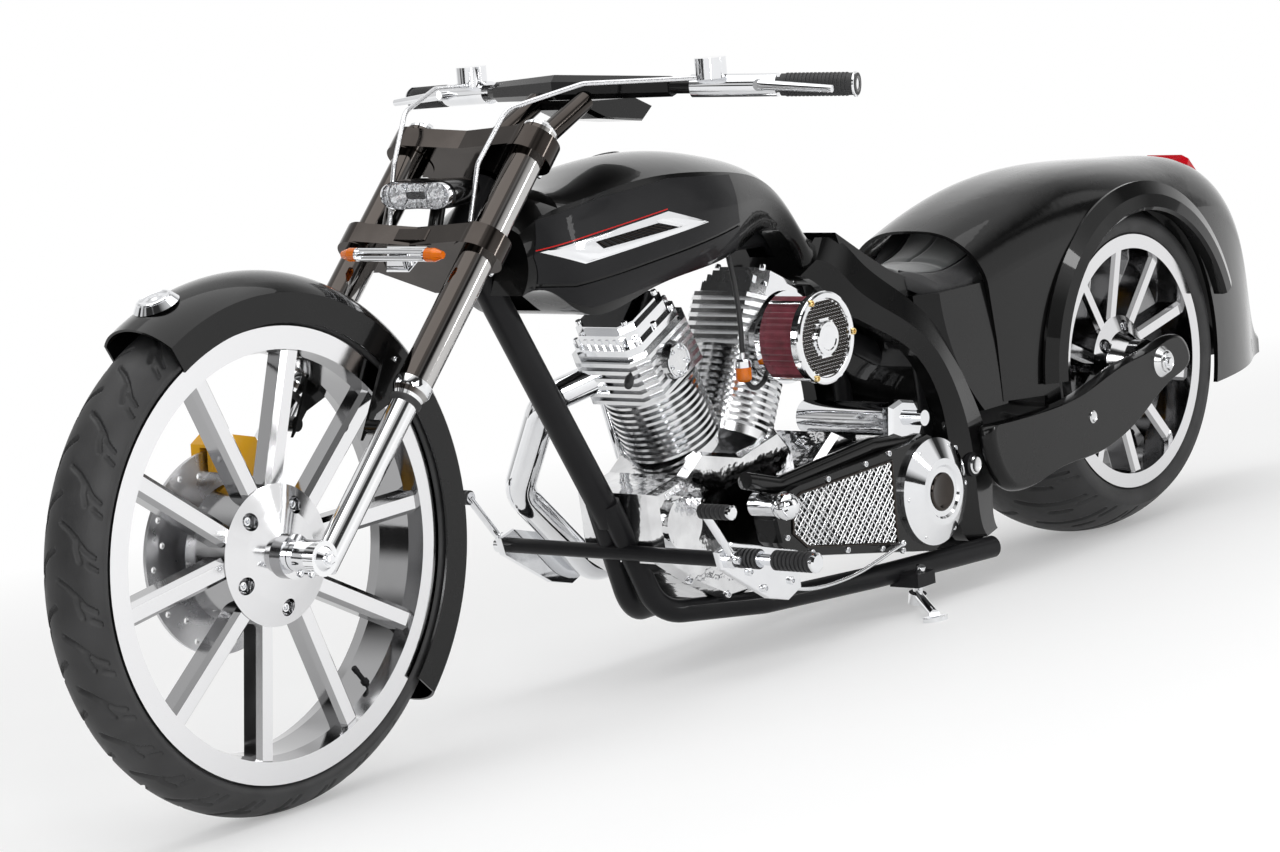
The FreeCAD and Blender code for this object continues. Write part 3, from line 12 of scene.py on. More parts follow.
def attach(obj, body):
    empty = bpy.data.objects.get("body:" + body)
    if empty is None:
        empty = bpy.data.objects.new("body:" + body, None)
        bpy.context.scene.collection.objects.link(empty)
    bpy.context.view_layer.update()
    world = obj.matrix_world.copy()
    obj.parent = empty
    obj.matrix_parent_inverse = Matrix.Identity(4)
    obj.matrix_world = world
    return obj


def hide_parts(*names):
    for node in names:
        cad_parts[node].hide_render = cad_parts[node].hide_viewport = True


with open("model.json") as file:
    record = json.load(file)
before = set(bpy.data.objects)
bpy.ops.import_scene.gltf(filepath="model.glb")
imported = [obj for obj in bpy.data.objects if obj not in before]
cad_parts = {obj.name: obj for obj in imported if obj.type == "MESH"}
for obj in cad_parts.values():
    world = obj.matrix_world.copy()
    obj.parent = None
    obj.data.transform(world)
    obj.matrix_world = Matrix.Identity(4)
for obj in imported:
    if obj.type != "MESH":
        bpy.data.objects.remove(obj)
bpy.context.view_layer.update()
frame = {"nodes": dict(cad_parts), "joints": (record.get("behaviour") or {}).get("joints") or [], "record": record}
nodes = frame["nodes"]
joints = {joint["name"]: joint for joint in frame["joints"]}

# Sizes that the solids have, in millimetres
FORK_REACH = 785
AXLE_OFFSET = 84
LEG_AHEAD = 60
LEG_Y = 125
LEG_TOP = 34
UPPER_TUBE_END = 469
LOWER_CLAMP = 192
BAR_HALF = 483
BAR_BACK, BAR_PULLBACK = 179, 171
BAR_RISE, BAR_DROP = 120.5, 25
GRIP_LENGTH = 120
LAMP_FLATNESS = 36 / 73
BOWL_Y = 40
CRANK = Vector((1150, 0, 250))
VEE_HALF_ANGLE = 26
HEAD_MIDDLE = 336
ROCKER_LEDGE = 398
ROCKER_TOP = 432
TANK_TAIL_X, TANK_RUN = 864, 803.9
TANK_TAIL_Z, TANK_RISE = 662, 103
ARM_PIVOT = (600, 181, 245)
PEG_X, PEG_Z = 1300, 215
PEDAL_X, PEDAL_Z = 1470, 330
SILENCER_START = Vector((900, -205, 150))
SILENCER_WAY = Vector((-470, -20, -10)).normalized()
SILENCER_LENGTH = 470.6

# The upright machine: x ahead of the rear axle, y to the left, z up, in millimetres
AHEAD, ACROSS, UP = Vector((1, 0, 0)), Vector((0, 1, 0)), Vector((0, 0, 1))
SIDES = (1, -1)
left = Vector(joints["rear_wheel_spin"]["axis"]).normalized()
up = AHEAD.cross(left)
rear_hub = Vector(joints["rear_wheel_spin"]["pos_m"])
front_hub = Vector(joints["front_wheel_spin"]["pos_m"])
ground = rear_hub - up * (rear_hub.z / up.z)
bearing = Matrix((AHEAD, left, up)).transposed()
upright = bearing.to_4x4()
upright.translation = ground
upright = upright @ Matrix.Scale(0.001, 4)
to_upright = upright.inverted()
rear_axle = UP * (rear_hub - ground).length * 1000
front_axle = Vector(((front_hub - rear_hub).dot(AHEAD), 0, (front_hub - ground).dot(up))) * 1000
steer_down = (to_upright.to_3x3() @ Vector(joints["steering"]["axis"])).normalized()
steer_down = -steer_down if steer_down.z > 0 else steer_down
steer_out = ACROSS.cross(steer_down) if ACROSS.cross(steer_down).z > 0 else steer_down.cross(ACROSS)
fork_top = front_axle - steer_down * FORK_REACH - steer_out * AXLE_OFFSET

# Camera, solved from the ellipses of both wheels in the photograph
LENS = 108
CAMERA_AT = (6189, 4147.2, 1415.2)
CAMERA_RIGHT = (-0.63465, 0.76786, -0.08722)
CAMERA_UP = (-0.17215, -0.03044, 0.9846)
CAMERA_BACK = (0.75338, 0.63989, 0.1515)

def placed(name, data):
    """A new object in the scene."""
    made = bpy.data.objects.new(name, data)
    bpy.context.scene.collection.objects.link(made)
    return made

def add_camera():
    data = bpy.data.cameras.new("camera")
    data.lens = LENS
    data.sensor_width = 36
    data.clip_end = 100
    camera = placed("camera", data)
    turn = bearing @ Matrix((CAMERA_RIGHT, CAMERA_UP, CAMERA_BACK)).transposed()
    camera.matrix_world = Matrix.LocRotScale(upright @ Vector(CAMERA_AT), turn.to_quaternion(), None)
    bpy.context.scene.camera = camera

# Materials

FINE_GRAIN = 900
PAINT_GRAIN = 420
HIDE_CELLS = 420
# Leg colours: the upper tube's dark chrome, a painted reflection on one side of it, and the lower legs' bright
# chrome; then the side that the painted reflection faces
DARK_LEG, LEG_PAINTED_REFLECTION, BRIGHT_LEG = (0.075, 0.066, 0.06), (0.55, 0.54, 0.53), (0.90, 0.905, 0.915)
LEG_REFLECTION_WAY = Vector((-0.45, 0.9, 0)).normalized()
LEG_DIVIDE = UPPER_TUBE_END + 7

def feed(tree, made, inputs):
    """Fills a shader node's inputs: a socket is linked, anything else is set."""
    for key, value in inputs.items():
        if isinstance(value, bpy.types.NodeSocket):
            tree.links.new(value, made.inputs[key])
        else:
            made.inputs[key].default_value = value

def node(tree, kind, output, inputs, **settings):
    """One output of a new shader node whose inputs are filled."""
    made = tree.nodes.new(kind)
    for key, value in settings.items():
        setattr(made, key, value)
    feed(tree, made, inputs)
    return made.outputs[output]

def base_material(name, color, metallic, roughness):
    """A principled material with its uniform values on the shader's own sockets."""
    made = bpy.data.materials.new(name)
    made.use_nodes = True
    tree = made.node_tree
    shader = tree.nodes["Principled BSDF"]
    feed(tree, shader, {"Base Color": (*color, 1), "Metallic": metallic, "Roughness": roughness})
    return made, tree, shader

def coords(tree, kind):
    return node(tree, "ShaderNodeTexCoord", kind, {})

def noise(tree, scale, detail=4, kind="Object"):
    inputs = {"Vector": coords(tree, kind), "Scale": scale, "Detail": detail}
    return node(tree, "ShaderNodeTexNoise", "Fac", inputs)

def ramp(tree, source, low, high, start=0.3, end=0.7):
    inputs = {"Value": source, "From Min": start, "From Max": end, "To Min": low, "To Max": high}
    return node(tree, "ShaderNodeMapRange", "Result", inputs)

def towards(tree, kind, way):
    """How far a coordinate reaches along a direction."""
    inputs = {0: coords(tree, kind), 1: way}
    return node(tree, "ShaderNodeVectorMath", "Value", inputs, operation="DOT_PRODUCT")

def mixed(tree, share, first, second):
    """A colour between two others, each of them a value or a socket."""
    first, second = (c if isinstance(c, bpy.types.NodeSocket) else (*c, 1) for c in (first, second))
    inputs = {"A": first, "B": second, "Factor": share}
    return node(tree, "ShaderNodeMix", "Result", inputs, data_type="RGBA")

def mottle(tree, shader, dark, light, cloud, low, high, wear=None):
    """Colour that drifts with a noise, and roughness that follows it or a noise of its own."""
    feed(tree, shader, {"Base Color": mixed(tree, ramp(tree, cloud, 0, 1), dark, light),
                        "Roughness": ramp(tree, wear or cloud, low, high)})

def bump(tree, shader, source, strength, distance):
    inputs = {"Height": source, "Strength": strength, "Distance": distance}
    feed(tree, shader, {"Normal": node(tree, "ShaderNodeBump", "Normal", inputs)})

def metal(name, dark, light, low, high, scale=9, grain=0.02):
    made, tree, shader = base_material(name, light, 1, low)
    mottle(tree, shader, dark, light, noise(tree, scale), low, high)
    bump(tree, shader, noise(tree, FINE_GRAIN, 2), grain, 0.0004)
    return made

def cast_metal(name, dark, light, scale=20, strength=0.4, distance=0.006):
    """Plated castings and pressings: a mirror finish over a surface that isn't quite flat."""
    made, tree, shader = base_material(name, light, 1, 0.06)
    mottle(tree, shader, dark, light, noise(tree, 16), 0.04, 0.12, noise(tree, 30))
    bump(tree, shader, noise(tree, scale, 3), strength, distance)
    return made

def wheel_metal(name, body):
    """Mirror metal with a painted reflection: brighter colour on faces turned to the wheel's sides, darker on the
    flanks of the spokes.
    """
    made, tree, shader = base_material(name, (0.8, 0.8, 0.8), 1, 0.08)
    own_left = body.matrix_world.to_3x3().normalized().transposed() @ left
    size = node(tree, "ShaderNodeMath", "Value", {0: towards(tree, "Normal", own_left)}, operation="ABSOLUTE")
    # painted reflection: the base colour brightens as the face turns towards the wheel's side
    painted_reflection = ramp(tree, size, 0, 1, 0.7, 0.97)
    feed(tree, shader, {"Base Color": mixed(tree, painted_reflection, (0.38, 0.38, 0.385), (0.80, 0.80, 0.81)),
                        "Roughness": ramp(tree, noise(tree, 12), 0.05, 0.14)})
    bump(tree, shader, noise(tree, FINE_GRAIN, 2), 0.03, 0.0004)
    return made

def leg_material(body):
    """Dark chrome with a painted reflection that brightens the upper tube towards one side, bright chrome below
    it.
    """
    made, tree, shader = base_material(body.name + "_chrome", (0.8, 0.8, 0.8), 1, 0.05)
    own = body.matrix_world.to_3x3().transposed() @ bearing
    divide = upright @ fork_point(LEG_DIVIDE, LEG_AHEAD) - body.matrix_world.translation
    at = (bearing @ steer_down).dot(divide)
    low = ramp(tree, towards(tree, "Object", own @ steer_down), 0, 1, at - 0.0005, at + 0.0005)
    # painted reflection: the upper tube turns lighter where its faces turn towards that side
    painted_reflection = ramp(tree, towards(tree, "Normal", own @ LEG_REFLECTION_WAY), 0, 1, 0.35, 0.9)
    upper = mixed(tree, painted_reflection, DARK_LEG, LEG_PAINTED_REFLECTION)
    feed(tree, shader, {"Base Color": mixed(tree, low, upper, BRIGHT_LEG),
                        "Roughness": ramp(tree, noise(tree, 9), 0.04, 0.09)})
    return made

def paint(name, color, light, roughness, coat, grain=0.01):
    made, tree, shader = base_material(name, color, 0, roughness)
    feed(tree, shader, {"Coat Weight": coat, "Coat Roughness": 0.03, "Coat IOR": 1.3,
                        "Specular IOR Level": 0.1})
    mottle(tree, shader, color, light, noise(tree, 6, 6), roughness, roughness * 1.3)
    bump(tree, shader, noise(tree, PAINT_GRAIN, 2), grain, 0.0006)
    return made

def soft(name, color, light, roughness, scale, strength, distance, sheen=0):
    """Rubber and cloth: a fine grain over a mottled colour."""
    made, tree, shader = base_material(name, color, 0, roughness)
    feed(tree, shader, {"Sheen Weight": sheen, "Sheen Roughness": 0.5})
    mottle(tree, shader, color, light, noise(tree, scale * 0.05), roughness * 0.85, roughness,
           noise(tree, scale * 0.2))
    bump(tree, shader, noise(tree, scale, 6), strength, distance)
    return made

def leather(name, color, dark, light):
    """Hide: shallow creases between small cells."""
    made, tree, shader = base_material(name, color, 0, 0.42)
    feed(tree, shader, {"Sheen Weight": 0.15, "Sheen Roughness": 0.4})
    mottle(tree, shader, dark, light, noise(tree, 14, 5), 0.34, 0.55)
    cells = node(tree, "ShaderNodeTexVoronoi", "Distance",
                 {"Vector": coords(tree, "Object"), "Scale": HIDE_CELLS}, feature="DISTANCE_TO_EDGE")
    bump(tree, shader, ramp(tree, cells, 0, 1, 0, 0.12), 0.35, 0.0005)
    return made

def glass(name, color, roughness, clear=0.9, rib=0):
    made, tree, shader = base_material(name, color, 0, roughness)
    wave = noise(tree, 260 if rib else 30, 3)
    feed(tree, shader, {"Transmission Weight": clear, "IOR": 1.46,
                        "Roughness": ramp(tree, wave, roughness, roughness * 1.6 + 0.01)})
    bump(tree, shader, wave, 0.05 + rib, 0.001)
    return made

CHROME = metal("chrome", (0.80, 0.81, 0.83), (0.90, 0.905, 0.915), 0.03, 0.075)
DARK_CHROME = metal("dark_chrome", (0.034, 0.029, 0.026), (0.062, 0.054, 0.049), 0.05, 0.10)
ALUMINIUM = metal("polished_aluminium", (0.70, 0.71, 0.72), (0.86, 0.86, 0.865), 0.12, 0.22, 16, 0.05)
CASTING = cast_metal("plated_casting", (0.62, 0.62, 0.63), (0.86, 0.865, 0.87))
STEEL = metal("brushed_steel", (0.45, 0.45, 0.46), (0.62, 0.62, 0.63), 0.22, 0.36, 20, 0.10)
BRASS = metal("brass", (0.72, 0.50, 0.20), (0.88, 0.68, 0.32), 0.14, 0.28)
SLEEVE = metal("braided_line", (0.60, 0.61, 0.63), (0.92, 0.92, 0.93), 0.2, 0.35, 700, 0.6)
REFLECTOR = cast_metal("lamp_reflector", (0.78, 0.79, 0.8), (0.92, 0.92, 0.93), 90, 0.8, 0.004)
BLACK = paint("black_gloss", (0.0015, 0.0015, 0.0016), (0.003, 0.003, 0.003), 0.25, 0.9)
SATIN = paint("black_satin", (0.008, 0.008, 0.009), (0.014, 0.014, 0.015), 0.36, 0.25, 0.05)
YELLOW = paint("caliper_yellow", (0.78, 0.38, 0.012), (0.9, 0.48, 0.03), 0.3, 0.6)
PINSTRIPE = paint("pinstripe_red", (0.45, 0.01, 0.01), (0.55, 0.015, 0.012), 0.3, 0.5)
RUBBER = soft("rubber", (0.012, 0.012, 0.013), (0.026, 0.026, 0.027), 0.62, 500, 0.2, 0.0006)
TYRE = soft("tyre_rubber", (0.013, 0.013, 0.0135), (0.028, 0.028, 0.029), 0.58, 380, 0.25, 0.0008)
GAUZE = soft("filter_gauze", (0.11, 0.012, 0.022), (0.22, 0.03, 0.05), 0.7, 900, 0.5, 0.0012, 0.2)
SUEDE = soft("suede", (0.016, 0.019, 0.019), (0.034, 0.039, 0.038), 0.85, 620, 0.35, 0.0007, 0.5)
LEATHER = leather("leather", (0.012, 0.012, 0.013), (0.006, 0.006, 0.007), (0.02, 0.02, 0.021))
CLEAR = glass("lens_clear", (0.97, 0.98, 1), 0.02, 0.95)
AMBER = glass("lens_amber", (1, 0.25, 0.01), 0.08, 0.5, 0.3)
RED = glass("lens_red", (0.75, 0.008, 0.02), 0.07, 0.35, 0.1)

FINISH = {
    "black_gloss": BLACK, "black_satin": SATIN, "chrome": CHROME, "polished_alu": ALUMINIUM,
    "brushed_steel": STEEL, "tyre": TYRE, "rubber": RUBBER, "leather": LEATHER,
    "lens_clear": CLEAR, "lens_amber": AMBER, "lens_red": RED, "filter_red": GAUZE,
    "caliper_yellow": YELLOW, "cable_sleeve": SLEEVE,
}
OWN_FINISH = {
    "triple_clamps": DARK_CHROME, "risers": DARK_CHROME, "primary_cap": CHROME, "primary_mesh": SATIN,
    "crankcase": CASTING, "transmission": CASTING,
}
SLOT = {material.name: slot for slot, material in FINISH.items()}
SLOT.update({DARK_CHROME.name: "chrome", REFLECTOR.name: "chrome", PINSTRIPE.name: "black_satin"})

def dress_nodes():
    """Every node of the frame takes its slot's finish, or one of its own."""
    slots = {part["node"]: part["material_slot"] for part in frame["record"]["subparts"]}
    for name, body in nodes.items():
        body.data.materials.clear()
        body.data.materials.append(OWN_FINISH.get(name, FINISH[slots[name]]))
    for name in ("fork_left", "fork_right"):
        nodes[name].data.materials[0] = leg_material(nodes[name])
    for name in ("front_rim", "rear_rim"):
        nodes[name].data.materials[0] = wheel_metal(name + "_metal", nodes[name])

# Drawing in the upright frame

def fork_point(s, u, y=0):
    """A point s down the steering axis from its top, u ahead of it and y to the left."""
    return fork_top + steer_down * s + steer_out * u + ACROSS * y

def bar_point(y, side):
    """A point on the handlebar's centre line, y from its middle."""
    share = y / BAR_HALF
    return fork_top + Vector((-BAR_BACK - BAR_PULLBACK * share, y * side, BAR_RISE - BAR_DROP * share))

def wheel_point(centre, radius, degrees, y):
    a = math.radians(degrees)
    return centre + Vector((radius * math.sin(a), y, radius * math.cos(a)))

def points_of(name):
    body = nodes[name]
    return [to_upright @ (body.matrix_world @ vertex.co) for vertex in body.data.vertices]

def span(name):
    """The lowest and highest corner of a node."""
    points = points_of(name)
    return tuple(Vector([end(p[k] for p in points) for k in range(3)]) for end in (min, max))

def outer_face(name):
    """The centre of a round node's left face, and its radius."""
    low, high = span(name)
    return Vector(((low.x + high.x) / 2, high.y, (low.z + high.z) / 2)), (high.z - low.z) / 2

def tree_of(name):
    faces = [tuple(face.vertices) for face in nodes[name].data.polygons]
    return BVHTree.FromPolygons(points_of(name), faces)

def surface(tree, start, way):
    """Where a line from start first meets a node, and the normal that faces back along it."""
    at, normal, _, _ = tree.ray_cast(Vector(start), Vector(way).normalized())
    if at is None:
        return None, None
    return at, normal if normal.dot(Vector(way)) < 0 else -normal

def seated(name, starts, way, out=None):
    """Places on a node, met by lines from the starts, with the directions that bolts there face."""
    tree = tree_of(name)
    hits = [surface(tree, start, way) for start in starts]
    return [(at, normal if out is None else out) for at, normal in hits if at is not None]

def make(name, body, parts, material, slot_name=None, angle=32, flat=False):
    """One object out of several (points, faces) parts, riding on a body."""
    points, faces = [], []
    for part_points, part_faces in parts:
        base = len(points)
        points += [upright @ Vector(p) for p in part_points]
        faces += [tuple(base + k for k in face) for face in part_faces]
    mesh = bpy.data.meshes.new(name)
    mesh.from_pydata(points, [], faces)
    shape = bmesh.new()
    shape.from_mesh(mesh)
    bmesh.ops.remove_doubles(shape, verts=shape.verts, dist=1e-6)
    bmesh.ops.recalc_face_normals(shape, faces=shape.faces)
    shape.to_mesh(mesh)
    shape.free()
    if not flat:
        mesh.shade_smooth()
        mesh.set_sharp_from_angle(angle=math.radians(angle))
    mesh.materials.append(material)
    made = placed(name, mesh)
    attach(made, body)
    slot_name = slot_name or SLOT[material.name]
    return made

def skin(rows, count, closed=False, wrap=True):
    """Faces through rows of points: a closed skin meets itself, a wrapped row is a ring."""
    faces = []
    for row in range(rows if closed else rows - 1):
        here, there = row * count, (row + 1) % rows * count
        for k in range(count if wrap else count - 1):
            step = (k + 1) % count
            faces.append((here + k, here + step, there + step, there + k))
    return faces

def band(rings):
    """A skin through closed rings of equal count."""
    return [p for ring in rings for p in ring], skin(len(rings), len(rings[0]))

def circle(at, side, other, radius, steps):
    angles = [2 * math.pi * k / steps for k in range(steps)]
    return [at + (side * math.cos(a) + other * math.sin(a)) * radius for a in angles]

def lathe(at, axis, profile, steps=40):
    """A profile of (distance, radius) points turned about the axis through a point."""
    at = Vector(at)
    axis = Vector(axis).normalized()
    side = axis.orthogonal().normalized()
    return band([circle(at + axis * d, side, axis.cross(side), radius, steps) for d, radius in profile])

def curve(points, per=8):
    """A smooth run of points through the given ones."""
    points = [Vector(p) for p in points]
    ends = [points[0] * 2 - points[1]] + points + [points[-1] * 2 - points[-2]]
    run = []
    for a, b, c, d in zip(ends, ends[1:], ends[2:], ends[3:]):
        for k in range(per):
            t = k / per
            run.append(0.5 * ((2 * b) + (c - a) * t + (2 * a - 5 * b + 4 * c - d) * t * t
                              + (3 * b - a - 3 * c + d) * t ** 3))
    return run + [points[-1]]

def tube(points, radius, sides=14, closed=False):
    """A round bar along a run of points."""
    points = [Vector(p) for p in points]
    count = len(points)
    side = None
    rings = []
    for k, point in enumerate(points):
        if closed:
            way = points[(k + 1) % count] - points[k - 1]
        else:
            way = points[min(k + 1, count - 1)] - points[max(k - 1, 0)]
        way.normalize()
        if side is None:
            side = way.orthogonal()
        side = (side - way * side.dot(way)).normalized()
        rings += circle(point, side, way.cross(side), radius, sides)
    faces = skin(count, sides, closed)
    if not closed:
        faces.append(tuple(reversed(range(sides))))
        faces.append(tuple(range((count - 1) * sides, count * sides)))
    return rings, faces

def plate(outline, way, bevel=1.5, shrink=0.94):
    """A closed outline of points, raised along a direction with a bevelled edge."""
    outline = [Vector(p) for p in outline]
    way = Vector(way)
    middle = sum(outline, Vector()) / len(outline)
    rise = way * (1 - bevel / way.length)
    count = len(outline)
    points, faces = band([outline, [p + rise for p in outline],
                          [middle + (p - middle) * shrink + way for p in outline]])
    faces.append(tuple(range(2 * count, 3 * count)))
    faces.append(tuple(reversed(range(count))))
    return points, faces

def socket_bolt(at, axis, radius, height):
    """A round-headed bolt with a hexagonal socket."""
    lip = radius * 0.575
    head = [(-1, 0), (-1, radius), (height * 0.75, radius), (height, radius * 0.86), (height, lip)]
    socket = [(height, lip), (height * 0.45, radius * 0.5), (height * 0.4, 0)]
    return [lathe(at, axis, head, 24), lathe(at, axis, socket, 6)]

def hex_bolt(at, axis, radius, height):
    """A hexagonal head on a washer."""
    washer = [(-1, 0), (-1, radius * 1.3), (height * 0.22, radius * 1.3), (height * 0.22, 0)]
    head = [(height * 0.2, radius), (height * 0.85, radius), (height, radius * 0.84), (height, 0)]
    return [lathe(at, axis, washer, 24), lathe(at, axis, head, 6)]

def bolts(name, body, places, radius, height, material=CHROME, kind=socket_bolt):
    """A set of like fasteners at (point, outward direction) places."""
    parts = [piece for at, axis in places for piece in kind(at, axis, radius, height)]
    make(name, body, parts, material, "chrome")

# Tyres: each line of tread is a run of (along, across) points in one repeat

FRONT_LINES = [[(0, 4), (10, 20), (24, 34), (40, 46), (50, 60)],
               [(24, 34), (38, 34), (56, 40)], [(62, 52), (70, 64)]]
REAR_LINES = [[(0, 14), (18, 50), (32, 95), (42, 140)], [(54, 60), (66, 96)], [(58, 120), (66, 150)]]
TREAD_ROWS = 84
TREAD_STEPS = 920

def tread_depth(theta, across, radius, lines, count, half_width):
    """How deep points lie in the grooves, 0 to 1; the two halves are half a repeat apart."""
    pitch = 2 * math.pi * radius / count
    depth = np.zeros_like(theta)
    for sign, offset in ((1, 0), (-1, 0.5 * pitch)):
        x = (theta * radius + offset) % pitch
        s = across * sign
        for line in lines:
            for (x0, s0), (x1, s1) in zip(line, line[1:]):
                dx, ds = x1 - x0, s1 - s0
                for shift in (-pitch, 0, pitch):
                    gx, gs = x - x0 - shift, s - s0
                    t = np.clip((gx * dx + gs * ds) / (dx * dx + ds * ds), 0, 1)
                    gap = np.hypot(gx - t * dx, gs - t * ds)
                    depth = np.maximum(depth, np.clip((half_width + 1 - gap) / 2, 0, 1))
    return depth

def tread_tyre(name, node_name, body, centre, crown_r, rim_r, bead_y, lines, count, half_width, deep):
    """A tyre with round crown and cut grooves, closed round its bead."""
    low, high = span(node_name)
    outer_r = (high.x - low.x) / 2
    half_w = min((high.y - low.y) / 2, crown_r * 0.99)
    edge = math.asin(half_w / crown_r)
    crown = outer_r - crown_r
    angles = [edge * (2 * k / TREAD_ROWS - 1) for k in range(TREAD_ROWS + 1)]
    profile = [(crown_r * math.sin(a), crown + crown_r * math.cos(a), a * crown_r) for a in angles]
    shoulder = profile[-1][1]
    wall = [(half_w - 0.5, shoulder * 0.6 + rim_r * 0.4), ((half_w + bead_y) / 2 + 2, rim_r + 5),
            (bead_y, rim_r + 1), (bead_y, rim_r - 10)]
    profile += [(y, r, None) for y, r in wall] + [(-y, r, None) for y, r in reversed(wall)]
    turns = np.arange(TREAD_STEPS) * 2 * math.pi / TREAD_STEPS
    grid = []
    for y, r, s in profile:
        radius = np.full(TREAD_STEPS, r)
        if s is not None:
            fade = min(1, (edge * crown_r - abs(s)) / 4)
            depth = tread_depth(turns, np.full(TREAD_STEPS, s), outer_r, lines, count, half_width)
            radius -= deep * fade * depth
        grid.append(np.stack([radius * np.sin(turns), np.full(TREAD_STEPS, y), radius * np.cos(turns)], 1))
    points = [tuple(p) for p in np.concatenate(grid) + np.array(centre)]
    made = make(name, body, [(points, skin(len(profile), TREAD_STEPS, closed=True))], TYRE, angle=50)
    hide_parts(node_name)

def tyres():
    tread_tyre("front_tread", "front_tyre", "front_wheel", front_axle, 66, 345, 50.7,
               FRONT_LINES, 30, 3.2, 5)
    tread_tyre("rear_tread", "rear_tyre", "rear_wheel", rear_axle, 220, 244, 137.7, REAR_LINES, 24, 4, 6)

# Wheels and fork

VALVE_AT = 218
VALVE = [(-2, 0), (-2, 6.5), (3, 6.5), (5, 4), (24, 4), (24, 4.8), (34, 4.8), (35, 3.5), (35, 0)]

def wheel_details():
    """Bolts in the hub pockets and on the discs, the discs' carriers and the valves."""
    for name, centre, hub_r, face, phase, disc_y, boss_r in (
            ("front", front_axle, 108, 46, 5, -73, 34),
            ("rear", rear_axle, 88, 112, 20, -166, 42)):
        body = name + "_wheel"
        hub = [(wheel_point(centre, hub_r * 0.76, phase + 36 + 72 * k, face - 8), ACROSS)
               for k in range(5)]
        bolts(name + "_hub_bolts", body, hub, 7.5, 9)
        disc = [(wheel_point(centre, boss_r + 26, 60 * k, disc_y - 3), -ACROSS) for k in range(6)]
        bolts(name + "_disc_bolts", body, disc, 6, 5, STEEL)
        way = wheel_point(Vector(), 1, VALVE_AT, 0)
        start = centre + way * (hub_r + 60) + ACROSS * (face * 0.4)
        for root, _ in seated(name + "_rim", [start], way):
            make(name + "_valve", body, [lathe(root, -way, VALVE, 20)], SATIN)
        ring = [(-2, boss_r), (-2, boss_r + 46), (-7, boss_r + 42), (-7, boss_r), (-2, boss_r)]
        make(name + "_disc_carrier", body, [lathe(centre + ACROSS * disc_y, ACROSS, ring, 64)], SATIN)

def fork_details():
    """Pinch bolts of clamps and axle lugs, the caps, seals and wipers of the legs, and the stem nut."""
    clamp_edges = [fork_point(clamp + off, -140, side * 112)
                   for clamp in (0, LOWER_CLAMP) for off in (-11, 11) for side in SIDES]
    bolts("clamp_bolts", "fork", seated("triple_clamps", clamp_edges, steer_out), 6, 5)
    cap = [(0, 28.5), (4, 28.5), (8, 25), (8, 15), (12, 14), (12, 0)]
    cap_hex = [(11, 10), (19, 10), (20, 8.5), (20, 0)]
    seal = [(0, 28), (0, 30.5), (12, 30.5), (16, 28.8), (16, 28)]
    wiper = [(0, 21), (0, 26), (4, 26), (9, 23), (9, 21)]
    stem_nut = [(-2, 0), (-2, 24), (3, 24), (6, 21), (6, 0)]
    caps, seals, wipers, lugs = [], [], [], []
    a = 2.35
    way = Vector((math.sin(a), 0, math.cos(a)))
    for side in SIDES:
        top = fork_point(-LEG_TOP, LEG_AHEAD, side * LEG_Y)
        caps += [lathe(top, -steer_down, cap, 48), lathe(top, -steer_down, cap_hex, 6)]
        foot = fork_point(UPPER_TUBE_END, LEG_AHEAD, side * LEG_Y)
        seals.append(lathe(foot - steer_down * 17, steer_down, seal, 48))
        wipers.append(lathe(foot + steer_down * 14, steer_down, wiper, 48))
        lugs += [(front_axle + way * 27 + ACROSS * side * (LEG_Y + off), way) for off in (-12, 12)]
    caps.append(lathe(fork_point(2 - LEG_TOP, 0), -steer_down, stem_nut, 40))
    make("fork_caps", "fork", caps, CHROME)
    make("fork_seals", "fork", seals, CHROME)
    make("fork_wipers", "fork", wipers, RUBBER)
    bolts("axle_pinch_bolts", "fork", lugs, 5.5, 6)

def lamp_ring(middle, half, x, scale, count=96):
    """The figure-eight outline of the headlamp."""
    points = []
    for k in range(count):
        a = 2 * math.pi * k / count
        waist = 0.78 - 0.22 * math.cos(a * 2 + math.pi)
        rise = half * LAMP_FLATNESS * scale * waist * math.sin(a)
        points.append(Vector((x, half * scale * math.cos(a), middle.z + rise)))
    return points

def headlamp():
    """Chrome bezel, reflector pan, two faceted bowls and their bulbs behind the clear lens."""
    low, high = span("headlight_lens")
    middle = (low + high) / 2
    bezel = [(-13, 1), (-12.6, 1.025), (-5, 1.025), (-1, 1.01), (-1.6, 0.985), (-6, 0.975), (-13, 1)]
    pan = [(-11.4, 0.30), (-11.2, 0.6), (-10.6, 0.9), (-5.5, 0.955)]
    bezel, pan = (band([lamp_ring(middle, high.y, high.x + x, scale) for x, scale in run])
                  for run in (bezel, pan))
    bowl = [(-17.4, 0)] + [(-17.2 + 17 * (k / 5) ** 2, 6.2 + 11.4 * k / 5) for k in range(6)]
    bulb = [(-17, 3), (-8, 4), (-4, 3), (-2.5, 0)]
    collar = [(0.9, 17.6), (2.1, 19), (4.9, 20.2)]
    seats = [Vector((high.x - 12.3, y, middle.z)) for y in (-BOWL_Y, BOWL_Y)]
    make("lamp_bezel", "fork", [bezel], CHROME)
    make("lamp_pan", "fork", [pan] + [lathe(at, AHEAD, collar, 48) for at in seats], REFLECTOR)
    make("lamp_bowls", "fork", [lathe(at, AHEAD, bowl, 18) for at in seats], REFLECTOR, flat=True)
    make("lamp_bulbs", "fork", [lathe(at, AHEAD, bulb, 20) for at in seats], CLEAR)

